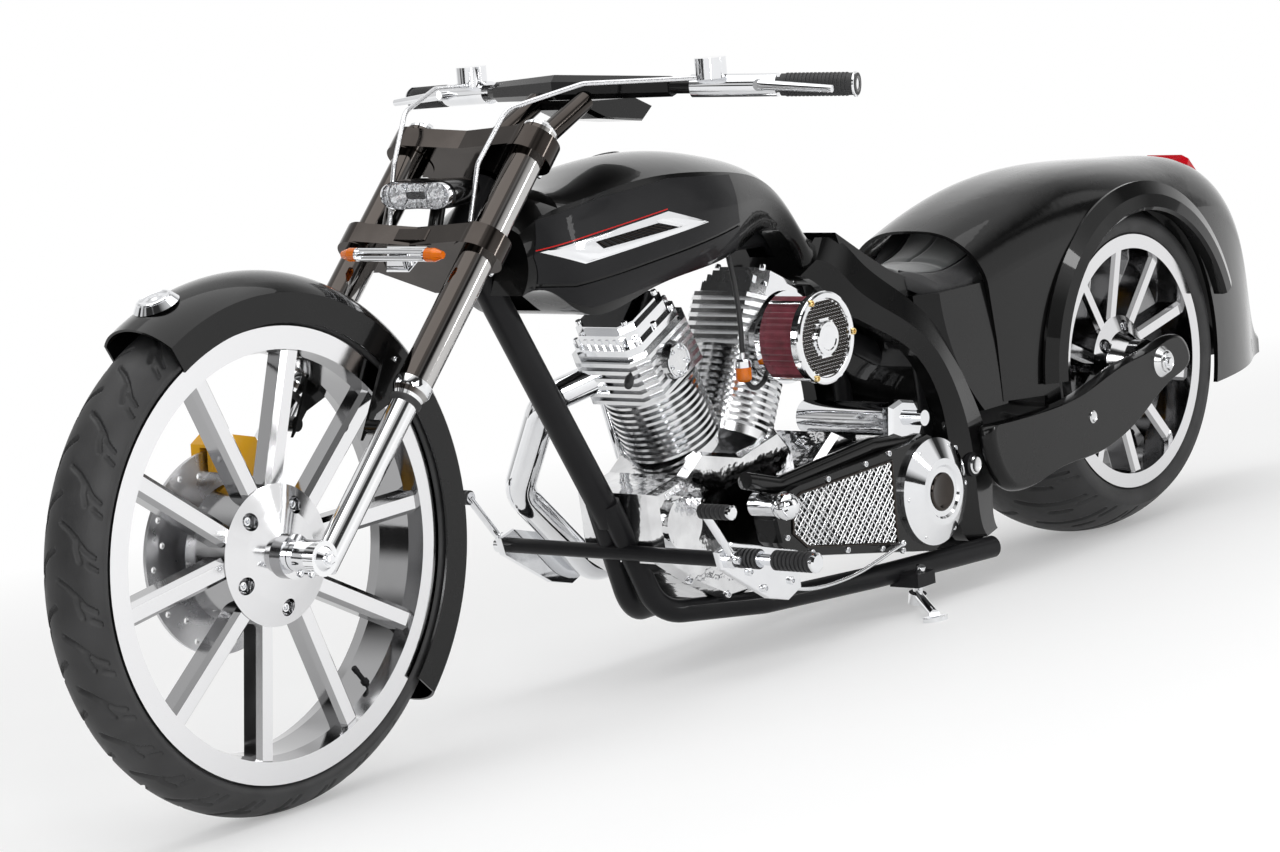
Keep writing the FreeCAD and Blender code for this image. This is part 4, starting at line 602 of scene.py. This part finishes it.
def bar_details():
    """Ribs round the grips, and the bar's ends."""
    rib = [(-2, 17.8), (-1.3, 19.2), (1.3, 19.2), (2, 17.8)]
    end = [(-5, 19), (-5, 20.5), (-2.4, 20.5), (-0.6, 17), (-0.6, 0)]
    ribs, ends = [], []
    for side in SIDES:
        tip = bar_point(BAR_HALF, side)
        inner = bar_point(BAR_HALF - GRIP_LENGTH, side)
        way = (tip - inner).normalized()
        ribs += [lathe(inner + way * (10 + 6.6 * k), way, rib, 36) for k in range(16)]
        ends.append(lathe(tip, way, end))
    make("grip_ribs", "fork", ribs, RUBBER)
    make("bar_ends", "fork", ends, CHROME)

def gauge_face():
    """The dial let into the pod's top: a chrome rim round dark glass."""
    low, high = span("gauge_pod")
    above = ((low.x + high.x) / 2 - 12, 0, high.z + 300)
    rim = [(-1, 34), (3, 33), (4, 31), (2.5, 29), (0.6, 28.5)]
    dial = [(-0.5, 0), (-0.5, 29), (1, 29), (1.6, 0)]
    for at, normal in seated("gauge_pod", [above], -UP):
        make("gauge_rim", "fork", [lathe(at, normal, rim, 72)], CHROME)
        make("gauge_glass", "fork", [lathe(at, normal, dial, 72)], BLACK)

def fork_plate(name, upper, lower, thickness, material):
    """A plate across the fork between two edges, each (below the lower clamp, ahead, half width)."""
    corners = ((upper, -1), (upper, 1), (lower, 1), (lower, -1))
    outline = [fork_point(LOWER_CLAMP + s, u, y * side) for (s, u, y), side in corners]
    make(name, "fork", [plate(outline, steer_out * thickness)], material)

def clamp_plates():
    """The bare plate on the lower clamp and the bright trapezoid below it."""
    fork_plate("clamp_plate", (-11, 90, 34), (11, 90, 34), 4.8, DARK_CHROME)
    fork_plate("lower_shield", (20, 88, 46), (66, 84, 24), 3, CHROME)

# Seat: runs of (ahead, up) points along its middle, its flanks and its edges

SEAT_RUNS = (
    [(690, 618), (610, 604), (520, 598), (430, 622), (350, 682), (314, 690)],
    [(640, 592), (580, 580), (510, 578), (430, 600), (365, 652), (332, 664)],
    [(600, 568), (560, 564), (510, 564), (450, 582), (400, 618), (372, 628)])
SEAT_COLUMNS = 61
SEAT_HALF, SEAT_FOOT_HALF, SEAT_DEPTH = 130, 124, 26
FLANK_AT = 0.8
RIM_AT = 0.62
SEAM_AT = 0.42
BADGE_AT = 0.86

def padding(u, v):
    """How far the cushion rises: a full rim, a shallow inner and grooves at its seams."""
    w = abs(v)
    if w > RIM_AT:
        lift = 7 * math.sin(math.pi * min(1, (w - RIM_AT) / (1 - RIM_AT)))
    else:
        lift = 3 * (1 - (w / RIM_AT) ** 2)
    lift -= 5 * math.exp(-((w - RIM_AT) / 0.02) ** 2)
    if w < RIM_AT:
        lift -= 4 * math.exp(-((u - SEAM_AT) / 0.012) ** 2)
        if u > SEAM_AT:
            lift -= 4 * math.exp(-(v / 0.018) ** 2)
    end = min(u, 1 - u)
    return lift * min(1, end / 0.05) - (1 - min(1, end / 0.06)) ** 2 * 8

def seat_cushion():
    """A bucket saddle: a padded rim round a stitched suede inner, with piping and a bare plate."""
    lines = [curve([Vector((x, 0, z)) for x, z in run], 14) for run in SEAT_RUNS]
    count = len(lines[0])
    columns = SEAT_COLUMNS
    top, under, inner = [], [], []
    for i in range(count):
        u = i / (count - 1)
        for j in range(columns):
            v = 2 * j / (columns - 1) - 1
            w = abs(v)
            shares = ((w - FLANK_AT) * (w - 1) / FLANK_AT, w * (1 - w) / (FLANK_AT * (1 - FLANK_AT)),
                      w * (w - FLANK_AT) / (1 - FLANK_AT))
            at = sum((line[i] * share for line, share in zip(lines, shares)), Vector())
            top.append(Vector((at.x, SEAT_HALF * v, at.z + padding(u, v))))
            under.append(Vector((at.x, SEAT_FOOT_HALF * v, at.z - SEAT_DEPTH)))
            inner.append(w < RIM_AT and 0.03 < u < 0.97)
    size = count * columns
    upper = skin(count, columns, wrap=False)
    lower = [tuple(size + p for p in reversed(face)) for face in upper]
    border = list(range(columns)) + [i * columns + columns - 1 for i in range(1, count)]
    border += [(count - 1) * columns + j for j in range(columns - 2, -1, -1)]
    border += [i * columns for i in range(count - 2, 0, -1)]
    edge = [(a, b, b + size, a + size) for a, b in zip(border, border[1:] + border[:1])]
    made = make("seat_cushion", "frame", [(top + under, upper + lower + edge)], LEATHER, angle=60)
    made.data.materials.append(SUEDE)
    for number, face in enumerate(upper):
        if inner[face[0]]:
            made.data.polygons[number].material_index = 1
    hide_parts("seat")
    piping = []
    for v in (-RIM_AT, RIM_AT):
        j = round((v + 1) / 2 * (columns - 1))
        piping.append(tube([top[i * columns + j] + UP * 3 for i in range(3, count - 3)], 2.2, 10))
    make("seat_piping", "frame", piping, LEATHER, angle=60)
    row = round(BADGE_AT * (count - 1)) * columns + columns // 2
    badge = [top[row - 5], top[row - columns - 3], top[row - columns + 3], top[row + 5]]
    out = (badge[1] - badge[0]).cross(badge[3] - badge[0]).normalized()
    out = out if out.z > 0 else -out
    make("seat_badge", "frame", [plate([p + out for p in badge], out * 2.2, 0.6)], CHROME)

# Engine

def cylinders():
    """For each cylinder: its side, the ways up and ahead along it, and its points from the crank."""
    for side in SIDES:
        a = math.radians(VEE_HALF_ANGLE) * side
        up_way = Vector((math.sin(a), 0, math.cos(a)))
        ahead_way = Vector((math.cos(a), 0, -math.sin(a)))

        def point(distance, off, y):
            return CRANK + up_way * distance + ahead_way * off + ACROSS * y

        yield side, up_way, ahead_way, point

def engine_details():
    """Bolts of rocker boxes and heads, the domed covers' rings, and the spark plugs with their caps."""
    ring = [(-1, 29.5), (2, 29), (3, 27.5), (2, 26), (-1, 25.5)]
    plug = [(0, 10), (8, 10), (9, 6), (24, 5), (24, 0)]
    plug_cap = [(0, 7), (14, 8), (26, 6.5), (30, 0)]
    ledge, lids, covers, rings, plugs, caps = [], [], [], [], [], []
    for side, up_way, ahead_way, point in cylinders():
        ledge += [(point(ROCKER_LEDGE, off, y), up_way)
                  for y in (-65.72, 65.72) for off in (-52, 0, 52)]
        lids += [(point(ROCKER_TOP, off, y), up_way) for y in (-50, 50) for off in (-45.6, 45.6)]
        cover = point(HEAD_MIDDLE, 10, 96)
        angles = [math.radians(72 * k + 20) for k in range(5)]
        covers += [(cover + (up_way * math.cos(a) + ahead_way * math.sin(a)) * 22, ACROSS) for a in angles]
        rings.append(lathe(cover, ACROSS, ring, 48))
        root = point(HEAD_MIDDLE + 16, 66 * side, 40)
        way = (ahead_way * side + ACROSS * 0.55).normalized()
        plugs.append(lathe(root, way, plug, 20))
        caps.append(lathe(root + way * 22, way, plug_cap, 20))
    bolts("rocker_base_bolts", "frame", ledge, 6, 8)
    bolts("rocker_lid_bolts", "frame", lids, 5.5, 7)
    bolts("head_cover_bolts", "frame", covers, 4.5, 5)
    make("head_cover_rings", "frame", rings, CHROME)
    make("spark_plugs", "frame", plugs, STEEL)
    make("plug_caps", "frame", caps, RUBBER)

def case_details():
    """Bolts round both faces of the crankcase, and the cam cover."""
    foot = ((997, 250), (1030, 172), (1104, 130), (1220, 130), (1312, 172), (1384, 222))
    places = seated("crankcase", [(x, 274, z) for x, z in foot], -ACROSS, ACROSS)
    round_cam = [wheel_point(CRANK, 84, 45 * k + 22, -400) for k in range(8)]
    places += seated("crankcase", round_cam, ACROSS, -ACROSS)
    bolts("case_bolts", "frame", places, 6.5, 7)
    chest = [(0, 0), (0, 70), (5, 66), (5, 34), (8, 30), (8, 0)]
    make("cam_cover", "frame", [lathe(CRANK - ACROSS * 132, -ACROSS, chest, 72)], CHROME)

FILTER_PITCH = 7
FILTER_BOSS = 33

def filter_details():
    """The perforated disc in the filter's front ring with its plain round boss, and the post nuts."""
    centre, radius = outer_face("air_filter_rings")
    bezel = [(-1, radius), (2, radius - 1), (4, radius - 4), (3, radius - 12), (-1, radius - 14)]
    boss = [(0, 30), (6, 30), (8, 27), (8, 22), (6.5, 20), (6.5, 0)]
    eyelet = [(0, 3.2), (1.2, 3), (1.2, 2.3), (0.2, 2.1)]
    make("filter_bezel", "frame", [lathe(centre, ACROSS, bezel, 96)], CHROME)
    make("filter_boss", "frame", [lathe(centre, ACROSS, boss, 64)], CHROME)
    reach = radius - 15
    rows = int(reach // FILTER_PITCH) + 1
    mesh = []
    for row in range(-rows, rows + 1):
        for column in range(-rows - 1, rows + 2):
            x = (column + (row % 2) * 0.5) * FILTER_PITCH
            z = row * FILTER_PITCH * 0.87
            if FILTER_BOSS < math.hypot(x, z) < reach:
                mesh.append(lathe(centre + Vector((x, 0.4, z)), ACROSS, eyelet, 10))
    make("filter_mesh", "frame", mesh, DARK_CHROME)
    nuts = [(wheel_point(centre, radius - 6, 30 + 120 * k, 0), ACROSS) for k in range(3)]
    bolts("filter_nuts", "frame", nuts, 6, 7, BRASS)

# Primary drive, with the window in its cover

WINDOW = [(1146, 226), (1140, 280), (1116, 290), (852, 298), (852, 150), (1110, 196)]
WINDOW_MIDDLE = (1000, 220)
WIRE_PITCH, WIRE_R, WIRE_WAVE = 9, 1.9, 1.1
COVER_BOLTS = ((1160, 285), (1165, 222), (1040, 300), (930, 306), (860, 312),
               (1100, 184), (1000, 168), (900, 150), (840, 135), (655, 285),
               (640, 170), (700, 128))

def clipped(outline, a, b):
    """The shares of a line from a to b at which it crosses an outline."""
    shares = []
    dx, dz = b[0] - a[0], b[1] - a[1]
    for (x0, z0), (x1, z1) in zip(outline, outline[1:] + outline[:1]):
        ex, ez = x1 - x0, z1 - z0
        cross = dx * ez - dz * ex
        if abs(cross) < 1e-9:
            continue
        if 0 <= ((x0 - a[0]) * dz - (z0 - a[1]) * dx) / cross <= 1:
            shares.append(((x0 - a[0]) * ez - (z0 - a[1]) * ex) / cross)
    return sorted(shares)

def primary_weave():
    """Wires that cross over and under each other in the window."""
    y = span("primary_mesh")[1].y + 1
    x, z = WINDOW_MIDDLE
    step = WIRE_PITCH * math.sqrt(2)
    wires = []
    for turn in SIDES:
        for k in range(-60, 61):
            a, b = (Vector((x + k * step + far, y, z + far * turn)) for far in (-400, 400))
            shares = clipped(WINDOW, (a.x, a.z), (b.x, b.z))
            if len(shares) < 2 or shares[-1] - shares[0] < 0.01:
                continue
            start, end = a.lerp(b, shares[0]), a.lerp(b, shares[-1])
            count = max(2, int((end - start).length / WIRE_PITCH) * 2)
            run = [start.lerp(end, j / count) for j in range(count + 1)]
            waves = [turn * math.cos((at.x - at.z * turn) / step * math.pi) for at in run]
            run = [at + ACROSS * WIRE_WAVE * wave for at, wave in zip(run, waves)]
            wires.append(tube(run, WIRE_R, 6))
    make("primary_weave", "frame", wires, ALUMINIUM, angle=60)

def primary_details():
    """The window's rim, the cover's bolts, and the ringed cap with its bolts."""
    places = seated("primary_cover", [(x, 400, z) for x, z in COVER_BOLTS], -ACROSS, ACROSS)
    bolts("primary_bolts", "frame", places, 5.5, 5)
    rim = [Vector((x, 183, z)) for x, z in WINDOW]
    run = [a.lerp(b, k / 8) for a, b in zip(rim, rim[1:] + rim[:1]) for k in range(8)]
    make("primary_rim", "frame", [tube(run, 2.6, 10, closed=True)], DARK_CHROME, angle=60)
    centre, reach = outer_face("primary_cap")
    disc = [(0, 0), (1, reach * 0.36), (3, reach * 0.34), (3, reach * 0.3), (2, reach * 0.28), (2, 0)]
    make("cap_medallion", "frame", [lathe(centre - ACROSS * 4, ACROSS, disc, 72)], DARK_CHROME)
    edge = [(wheel_point(centre, reach * 0.88, 60 * k + 30, -16.5), ACROSS) for k in range(6)]
    bolts("cap_bolts", "frame", edge, 5, 4)

# Tank: outlines in shares of its length and heights above its base line

TRIM = [(0.98, 14), (0.633, 79), (0.512, 61), (0.879, -5)]
TRIM_WINDOW = [(0.847, 30), (0.667, 60), (0.607, 53), (0.828, 19)]
LOUVRE_TOP = ((0.842, 29), (0.672, 58))
LOUVRE_FOOT = ((0.824, 20.5), (0.613, 53))
LOUVRES = 11
PINSTRIPE_RUN = ((0.985, 16.5), (0.63, 82.5))
FILLER_AT = (1250, -78, 1200)

def between(ends, t):
    return tuple(a + (b - a) * t for a, b in zip(*ends))

def tank_point(tree, share, height):
    """A point on the tank's left side, by share of its length and height above its base line."""
    x = TANK_TAIL_X + TANK_RUN * share
    z = TANK_TAIL_Z + TANK_RISE * share + height
    return surface(tree, (x, 400, z), -ACROSS)[0]

def on_side(point, lift, side):
    """A point of the left side, lifted off it and mirrored where the side is the right one."""
    return Vector((point.x, (point.y + lift) * side, point.z))

def tank_frames():
    """The polished slanted frame round each side window, laid over the panel's curve."""
    trees = [tree_of(name) for name in ("tank_panels", "tank_trims", "fuel_tank")]
    steps, rows = 14, 5
    rings = []
    for row in range(rows + 1):
        rings.append([])
        for k in range(4):
            for j in range(steps):
                outer = between((TRIM[k], TRIM[(k + 1) % 4]), j / steps)
                inner = between((TRIM_WINDOW[k], TRIM_WINDOW[(k + 1) % 4]), j / steps)
                hits = [tank_point(tree, *between((outer, inner), row / rows)) for tree in trees]
                hits = [hit for hit in hits if hit is not None]
                y = max(hit.y for hit in hits) + (1.6 if 0 < row < rows else 0.9)
                rings[-1].append(Vector((hits[0].x, y, hits[0].z)))
    rings = [[p - ACROSS * 2.5 for p in rings[0]]] + rings + [[p - ACROSS * 2.5 for p in rings[-1]]]
    parts = [band([[on_side(p, 0, side) for p in ring] for ring in rings]) for side in SIDES]
    make("tank_frames", "frame", parts, CHROME, angle=50)

def tank_details():
    """Louvres in each side window, the pinstripe over its frame and the flush filler cap."""
    tree = tree_of("tank_panels")
    slats, stripes = [], []
    for side in SIDES:
        for k in range(LOUVRES):
            t = (k + 0.5) / LOUVRES
            ends = [tank_point(tree, *between(run, t)) for run in (LOUVRE_TOP, LOUVRE_FOOT)]
            if None not in ends:
                slats.append(tube([on_side(end, 1.2, side) for end in ends], 1.5, 8))
        run = [tank_point(tree, *between(PINSTRIPE_RUN, k / 24)) for k in range(25)]
        stripes.append(tube([on_side(at, 0.3, side) for at in run if at is not None], 1.1, 8))
    make("tank_louvres", "frame", slats, DARK_CHROME)
    make("tank_pinstripe", "frame", stripes, PINSTRIPE)
    cap = [(-9, 0), (-9, 33), (0.5, 33), (3, 31), (3, 26), (1.6, 24), (1.6, 0)]
    for at, normal in seated("fuel_tank", [FILLER_AT], -UP):
        make("filler_cap", "frame", [lathe(at, normal, cap, 72)], BLACK)

# Body, front fender, controls and small hardware

def body_details():
    """Pivot caps of the arm, its bolts, and the nuts of both axles."""
    pivot_cap = [(-1, 0), (-1, 17), (3, 17), (5, 14), (3, 9), (3, 0)]
    arm_bolt = [(-1.5, 0), (-1.5, 12), (1.5, 12), (3, 10), (1, 6), (1, 0)]
    axle_cap = [(-1, 0), (-1, 21), (3, 20), (5, 17), (3, 13), (3, 0)]
    x, y, z = ARM_PIVOT
    caps, rear_nuts, front_nuts = [], [], []
    for side in SIDES:
        out = ACROSS * side
        caps.append(lathe((x, y * side, z), out, pivot_cap, 48))
        caps.append(lathe((252, 211 * side, 273), out, arm_bolt))
        caps.append(lathe(rear_axle + out * 221, out, axle_cap, 48))
        rear_nuts.append((rear_axle + out * 223, out))
        front_nuts.append((front_axle + out * 156, out))
    make("arm_caps", "frame", caps, ALUMINIUM)
    bolts("rear_axle_nuts", "frame", rear_nuts, 9, 7, kind=hex_bolt)
    bolts("front_axle_nuts", "fork", front_nuts, 8, 7, kind=hex_bolt)

def fender_details():
    """The bare ringed ornament and the bolts of the front fender's brackets."""
    rings = [(-0.5, 0), (-0.5, 27.5), (1.6, 26), (2.6, 23), (1.2, 20), (1.2, 9), (3, 6), (3.4, 0)]
    at = wheel_point(front_axle, 437, 20, 0)
    make("ornament_rings", "fork", [lathe(at, at - front_axle, rings, 72)], CHROME)
    lead = fork_point(509, LEG_AHEAD) - front_axle
    leg_angle = math.degrees(math.atan2(lead.x, lead.z))
    places = []
    for side in SIDES:
        starts = [wheel_point(front_axle, reach, leg_angle + turn, 300 * side)
                  for turn in (-4, 4) for reach in (366, 378)]
        places += seated("fender_struts", starts, ACROSS * -side, ACROSS * side)
    if places:
        bolts("fender_bolts", "fork", places, 4.5, 4)

def control_details():
    """Ribbed rubbers on pegs and pedals, the plates' bolts and the shift rod."""
    peg_rib = [(-3.2, 13.6), (-2.4, 17.2), (2.4, 17.2), (3.2, 13.6)]
    peg_end = [(-1, 17), (3, 17), (6, 13), (6, 0)]
    pedal_rib = [(-3.6, 9.7), (-2.8, 12.6), (2.8, 12.6), (3.6, 9.7)]
    pedal_end = [(-1, 12), (2, 12), (4, 9), (4, 0)]
    rubbers, ends, places = [], [], []
    for side in SIDES:
        out = ACROSS * side
        for x, z, start, step, count, rib, tip, end, steps in (
                (PEG_X, PEG_Z, 266, 8.6, 9, peg_rib, 345, peg_end, 36),
                (PEDAL_X, PEDAL_Z, 256, 9.6, 6, pedal_rib, 315, pedal_end, 30)):
            rubbers += [lathe((x, (start + step * k) * side, z), out, rib, steps) for k in range(count)]
            ends.append(lathe((x, tip * side, z), out, end, steps))
        for x, y, z in ((1352, 246, 205), (1317, 246, 170), (1244, 246, 168),
                        (1240, 246, 200), (1400, 262, 235)):
            places.append((Vector((x, y * side, z)), out))
    make("peg_rubbers", "frame", rubbers, RUBBER)
    make("peg_ends", "frame", ends, CHROME)
    bolts("control_bolts", "frame", places, 6.5, 6)
    rod = curve([(1262, 236, 160), (1140, 216, 132), (1000, 202, 128), (850, 193, 150)], 10)
    ball = [(-6.5 + 13 * k / 12, 6.5 * math.sin(math.pi * k / 12)) for k in range(13)]
    joints_of_rod = [lathe(at, ACROSS, ball, 24) for at in (rod[0], rod[-1])]
    joints_of_rod += [lathe(at, ACROSS, [(0, 0), (0, 4), (reach, 4), (reach, 0)], 20)
                      for at, reach in ((rod[-1] - ACROSS * 12, 12), (rod[0], 4))]
    make("shift_rod", "frame", [tube(rod, 3.4, 12)] + joints_of_rod, CHROME)

def fuel_line():
    """The fuel filter with its amber bowl, and the hoses up to the tank and back to the carburettor."""
    at = Vector((1150, 108, 486))
    bowl = [(0, 0), (0, 10), (4, 13.5), (26, 13.5), (26, 0)]
    cap = [(25, 0), (25, 15.5), (36, 15.5), (39, 12), (39, 5), (50, 5), (50, 0)]
    make("fuel_bowl", "frame", [lathe(at, UP, bowl, 36)], AMBER)
    make("fuel_filter_cap", "frame", [lathe(at, UP, cap, 36)], CHROME)
    upper = [at + UP * 48, (1146, 106, 590), (1140, 96, 650), (1136, 84, 700)]
    lower = [at + UP * 6, (1132, 112, 472), (1104, 112, 478), (1078, 104, 496)]
    make("fuel_hoses", "frame", [tube(curve(run, 10), 4.5, 12) for run in (upper, lower)], RUBBER)

def silencer_details():
    """The silencer's rolled tip and its two bands."""
    tip = [(-3, 48.5), (-3, 50.5), (3, 50.5), (5, 47), (3, 40), (-2, 38), (0.5, 36), (0.5, 0)]
    ring = [(-6, 48.5), (-6, 50), (6, 50), (6, 48.5)]
    end = SILENCER_START + SILENCER_WAY * SILENCER_LENGTH
    make("silencer_tip", "frame", [lathe(end, SILENCER_WAY, tip, 64)], CHROME)
    rings = [lathe(SILENCER_START + SILENCER_WAY * reach, SILENCER_WAY, ring, 64) for reach in (60, 400)]
    make("silencer_bands", "frame", rings, STEEL)

def caliper_details():
    """Bolts on the outer faces of the brake calipers."""
    for name, body, centre, radial in (("front_caliper", "fork", front_axle, Vector((-0.25, 0, 0.97))),
                                       ("rear_caliper", "frame", rear_axle, Vector((0.95, 0, 0.3)))):
        radial.normalize()
        middle = centre + radial * 150 - ACROSS * 400
        starts = [middle + radial.cross(ACROSS) * along for along in (-34, 0, 34)]
        places = seated(name, starts, ACROSS, -ACROSS)
        if places:
            bolts(name + "_bolts", body, places, 6.5, 5)

# Studio: a pale floor, a white surround and soft lamps

FLOOR_HALF = 30
FLOOR_LIFT = 0.3
FLOOR_NEAR, FLOOR_FAR = 1.2, 5
SHED_LIGHT = 0.62
ROOM_DARK, ROOM_PANEL = 0.03, 0.75
OVERHEAD = 0.9
CARD = 0.9
CARD_WAY = Vector((-0.5, 0.8, 0.25)).normalized()
WHITE = (1, 1, 1, 1)
# Each lamp: its place, the point that it faces, its width and height, and its power
LAMPS = (
    ("overhead", (0.4, 0.6, 4), (0, 0, 0.4), 6, 3.6, 85),
    ("side", (2.8, 4.2, 1.8), (0.1, 0, 0.4), 2.4, 1.6, 34),
    ("front_strip", (3.4, 2.6, 1.5), (0.6, 0, 0.6), 0.25, 2.2, 26),
    ("rear_strip", (-1.8, 3.8, 1.4), (-0.8, 0.2, 0.6), 0.3, 2.2, 30))

def area_light(name, at, target, size, size_y, power):
    data = bpy.data.lights.new(name, "AREA")
    data.shape = "RECTANGLE"
    data.size = size
    data.size_y = size_y
    data.energy = power
    turn = (Vector(target) - Vector(at)).to_track_quat("-Z", "Y")
    placed(name, data).matrix_world = Matrix.LocRotScale(Vector(at), turn, None)

def math_of(tree, operation, first, second, **settings):
    return node(tree, "ShaderNodeMath", "Value", {0: first, 1: second}, operation=operation, **settings)

def ray(tree, kind):
    return node(tree, "ShaderNodeLightPath", "Is " + kind + " Ray", {})

def sight(tree):
    """1 for what the camera, a mirror or a lens sees, 0 for the light that falls on things."""
    direct = math_of(tree, "ADD", ray(tree, "Camera"), ray(tree, "Glossy"))
    return math_of(tree, "ADD", direct, ray(tree, "Transmission"), use_clamp=True)

def shader_mix(tree, share, first, second, output):
    shader = node(tree, "ShaderNodeMixShader", "Shader", {"Fac": share, 1: first, 2: second})
    feed(tree, tree.nodes[output], {"Surface": shader})

def surround():
    """White behind the machine and overhead, a white card, soft panels in a dark room elsewhere."""
    world = bpy.data.worlds.new("surround")
    bpy.context.scene.world = world
    world.use_nodes = True
    tree = world.node_tree
    overhead = ramp(tree, towards(tree, "Generated", UP), 0, OVERHEAD, 0.64, 0.78)
    card = ramp(tree, towards(tree, "Generated", bearing @ CARD_WAY), 0, CARD, 0.90, 0.94)
    panels = ramp(tree, noise(tree, 2.4, 0, "Generated"), ROOM_DARK, ROOM_PANEL, 0.52, 0.62)
    room = math_of(tree, "MAXIMUM", panels, math_of(tree, "MAXIMUM", card, overhead))
    behind = ramp(tree, towards(tree, "Generated", bearing @ Vector(CAMERA_BACK)), 0, 1, -0.8, -0.35)
    level = node(tree, "ShaderNodeMix", "Result", {"A": 1, "B": room, "Factor": behind})
    seen = tree.nodes["Background"]
    feed(tree, seen, {"Color": math_of(tree, "MAXIMUM", ray(tree, "Camera"), level)})
    shed = node(tree, "ShaderNodeBackground", "Background", {"Color": WHITE, "Strength": SHED_LIGHT})
    shader_mix(tree, sight(tree), shed, seen.outputs["Background"], "World Output")

def studio():
    """The floor, whiter to the eye with distance, under the surround and the lamps."""
    mesh = bpy.data.meshes.new("floor")
    half = FLOOR_HALF
    corners = [(-half, -half, 0), (half, -half, 0), (half, half, 0), (-half, half, 0)]
    mesh.from_pydata(corners, [], [(0, 1, 2, 3)])
    floor = placed("floor", mesh)
    material, tree, shader = base_material("floor_paper", (0.9, 0.9, 0.9), 0, 0.6)
    feed(tree, shader, {"Base Color": mixed(tree, noise(tree, 2), (0.88, 0.88, 0.88), (0.9, 0.9, 0.9))})
    place = node(tree, "ShaderNodeNewGeometry", "Position", {})
    distance = node(tree, "ShaderNodeVectorMath", "Value", {0: place}, operation="LENGTH")
    far = ramp(tree, distance, FLOOR_LIFT, 1, FLOOR_NEAR, FLOOR_FAR)
    white = node(tree, "ShaderNodeEmission", "Emission", {"Color": WHITE})
    lift = math_of(tree, "MULTIPLY", far, sight(tree))
    shader_mix(tree, lift, shader.outputs["BSDF"], white, "Material Output")
    mesh.materials.append(material)
    surround()
    for lamp in LAMPS:
        area_light(*lamp)

for build in (
        add_camera, dress_nodes, tyres, wheel_details, fork_details, headlamp, bar_details, gauge_face,
        clamp_plates, seat_cushion, engine_details, case_details, filter_details, primary_weave,
        primary_details, tank_frames, tank_details, body_details, fender_details, control_details,
        fuel_line, silencer_details, caliper_details, studio):
    build()

bpy.context.scene.view_settings.view_transform = "Standard"
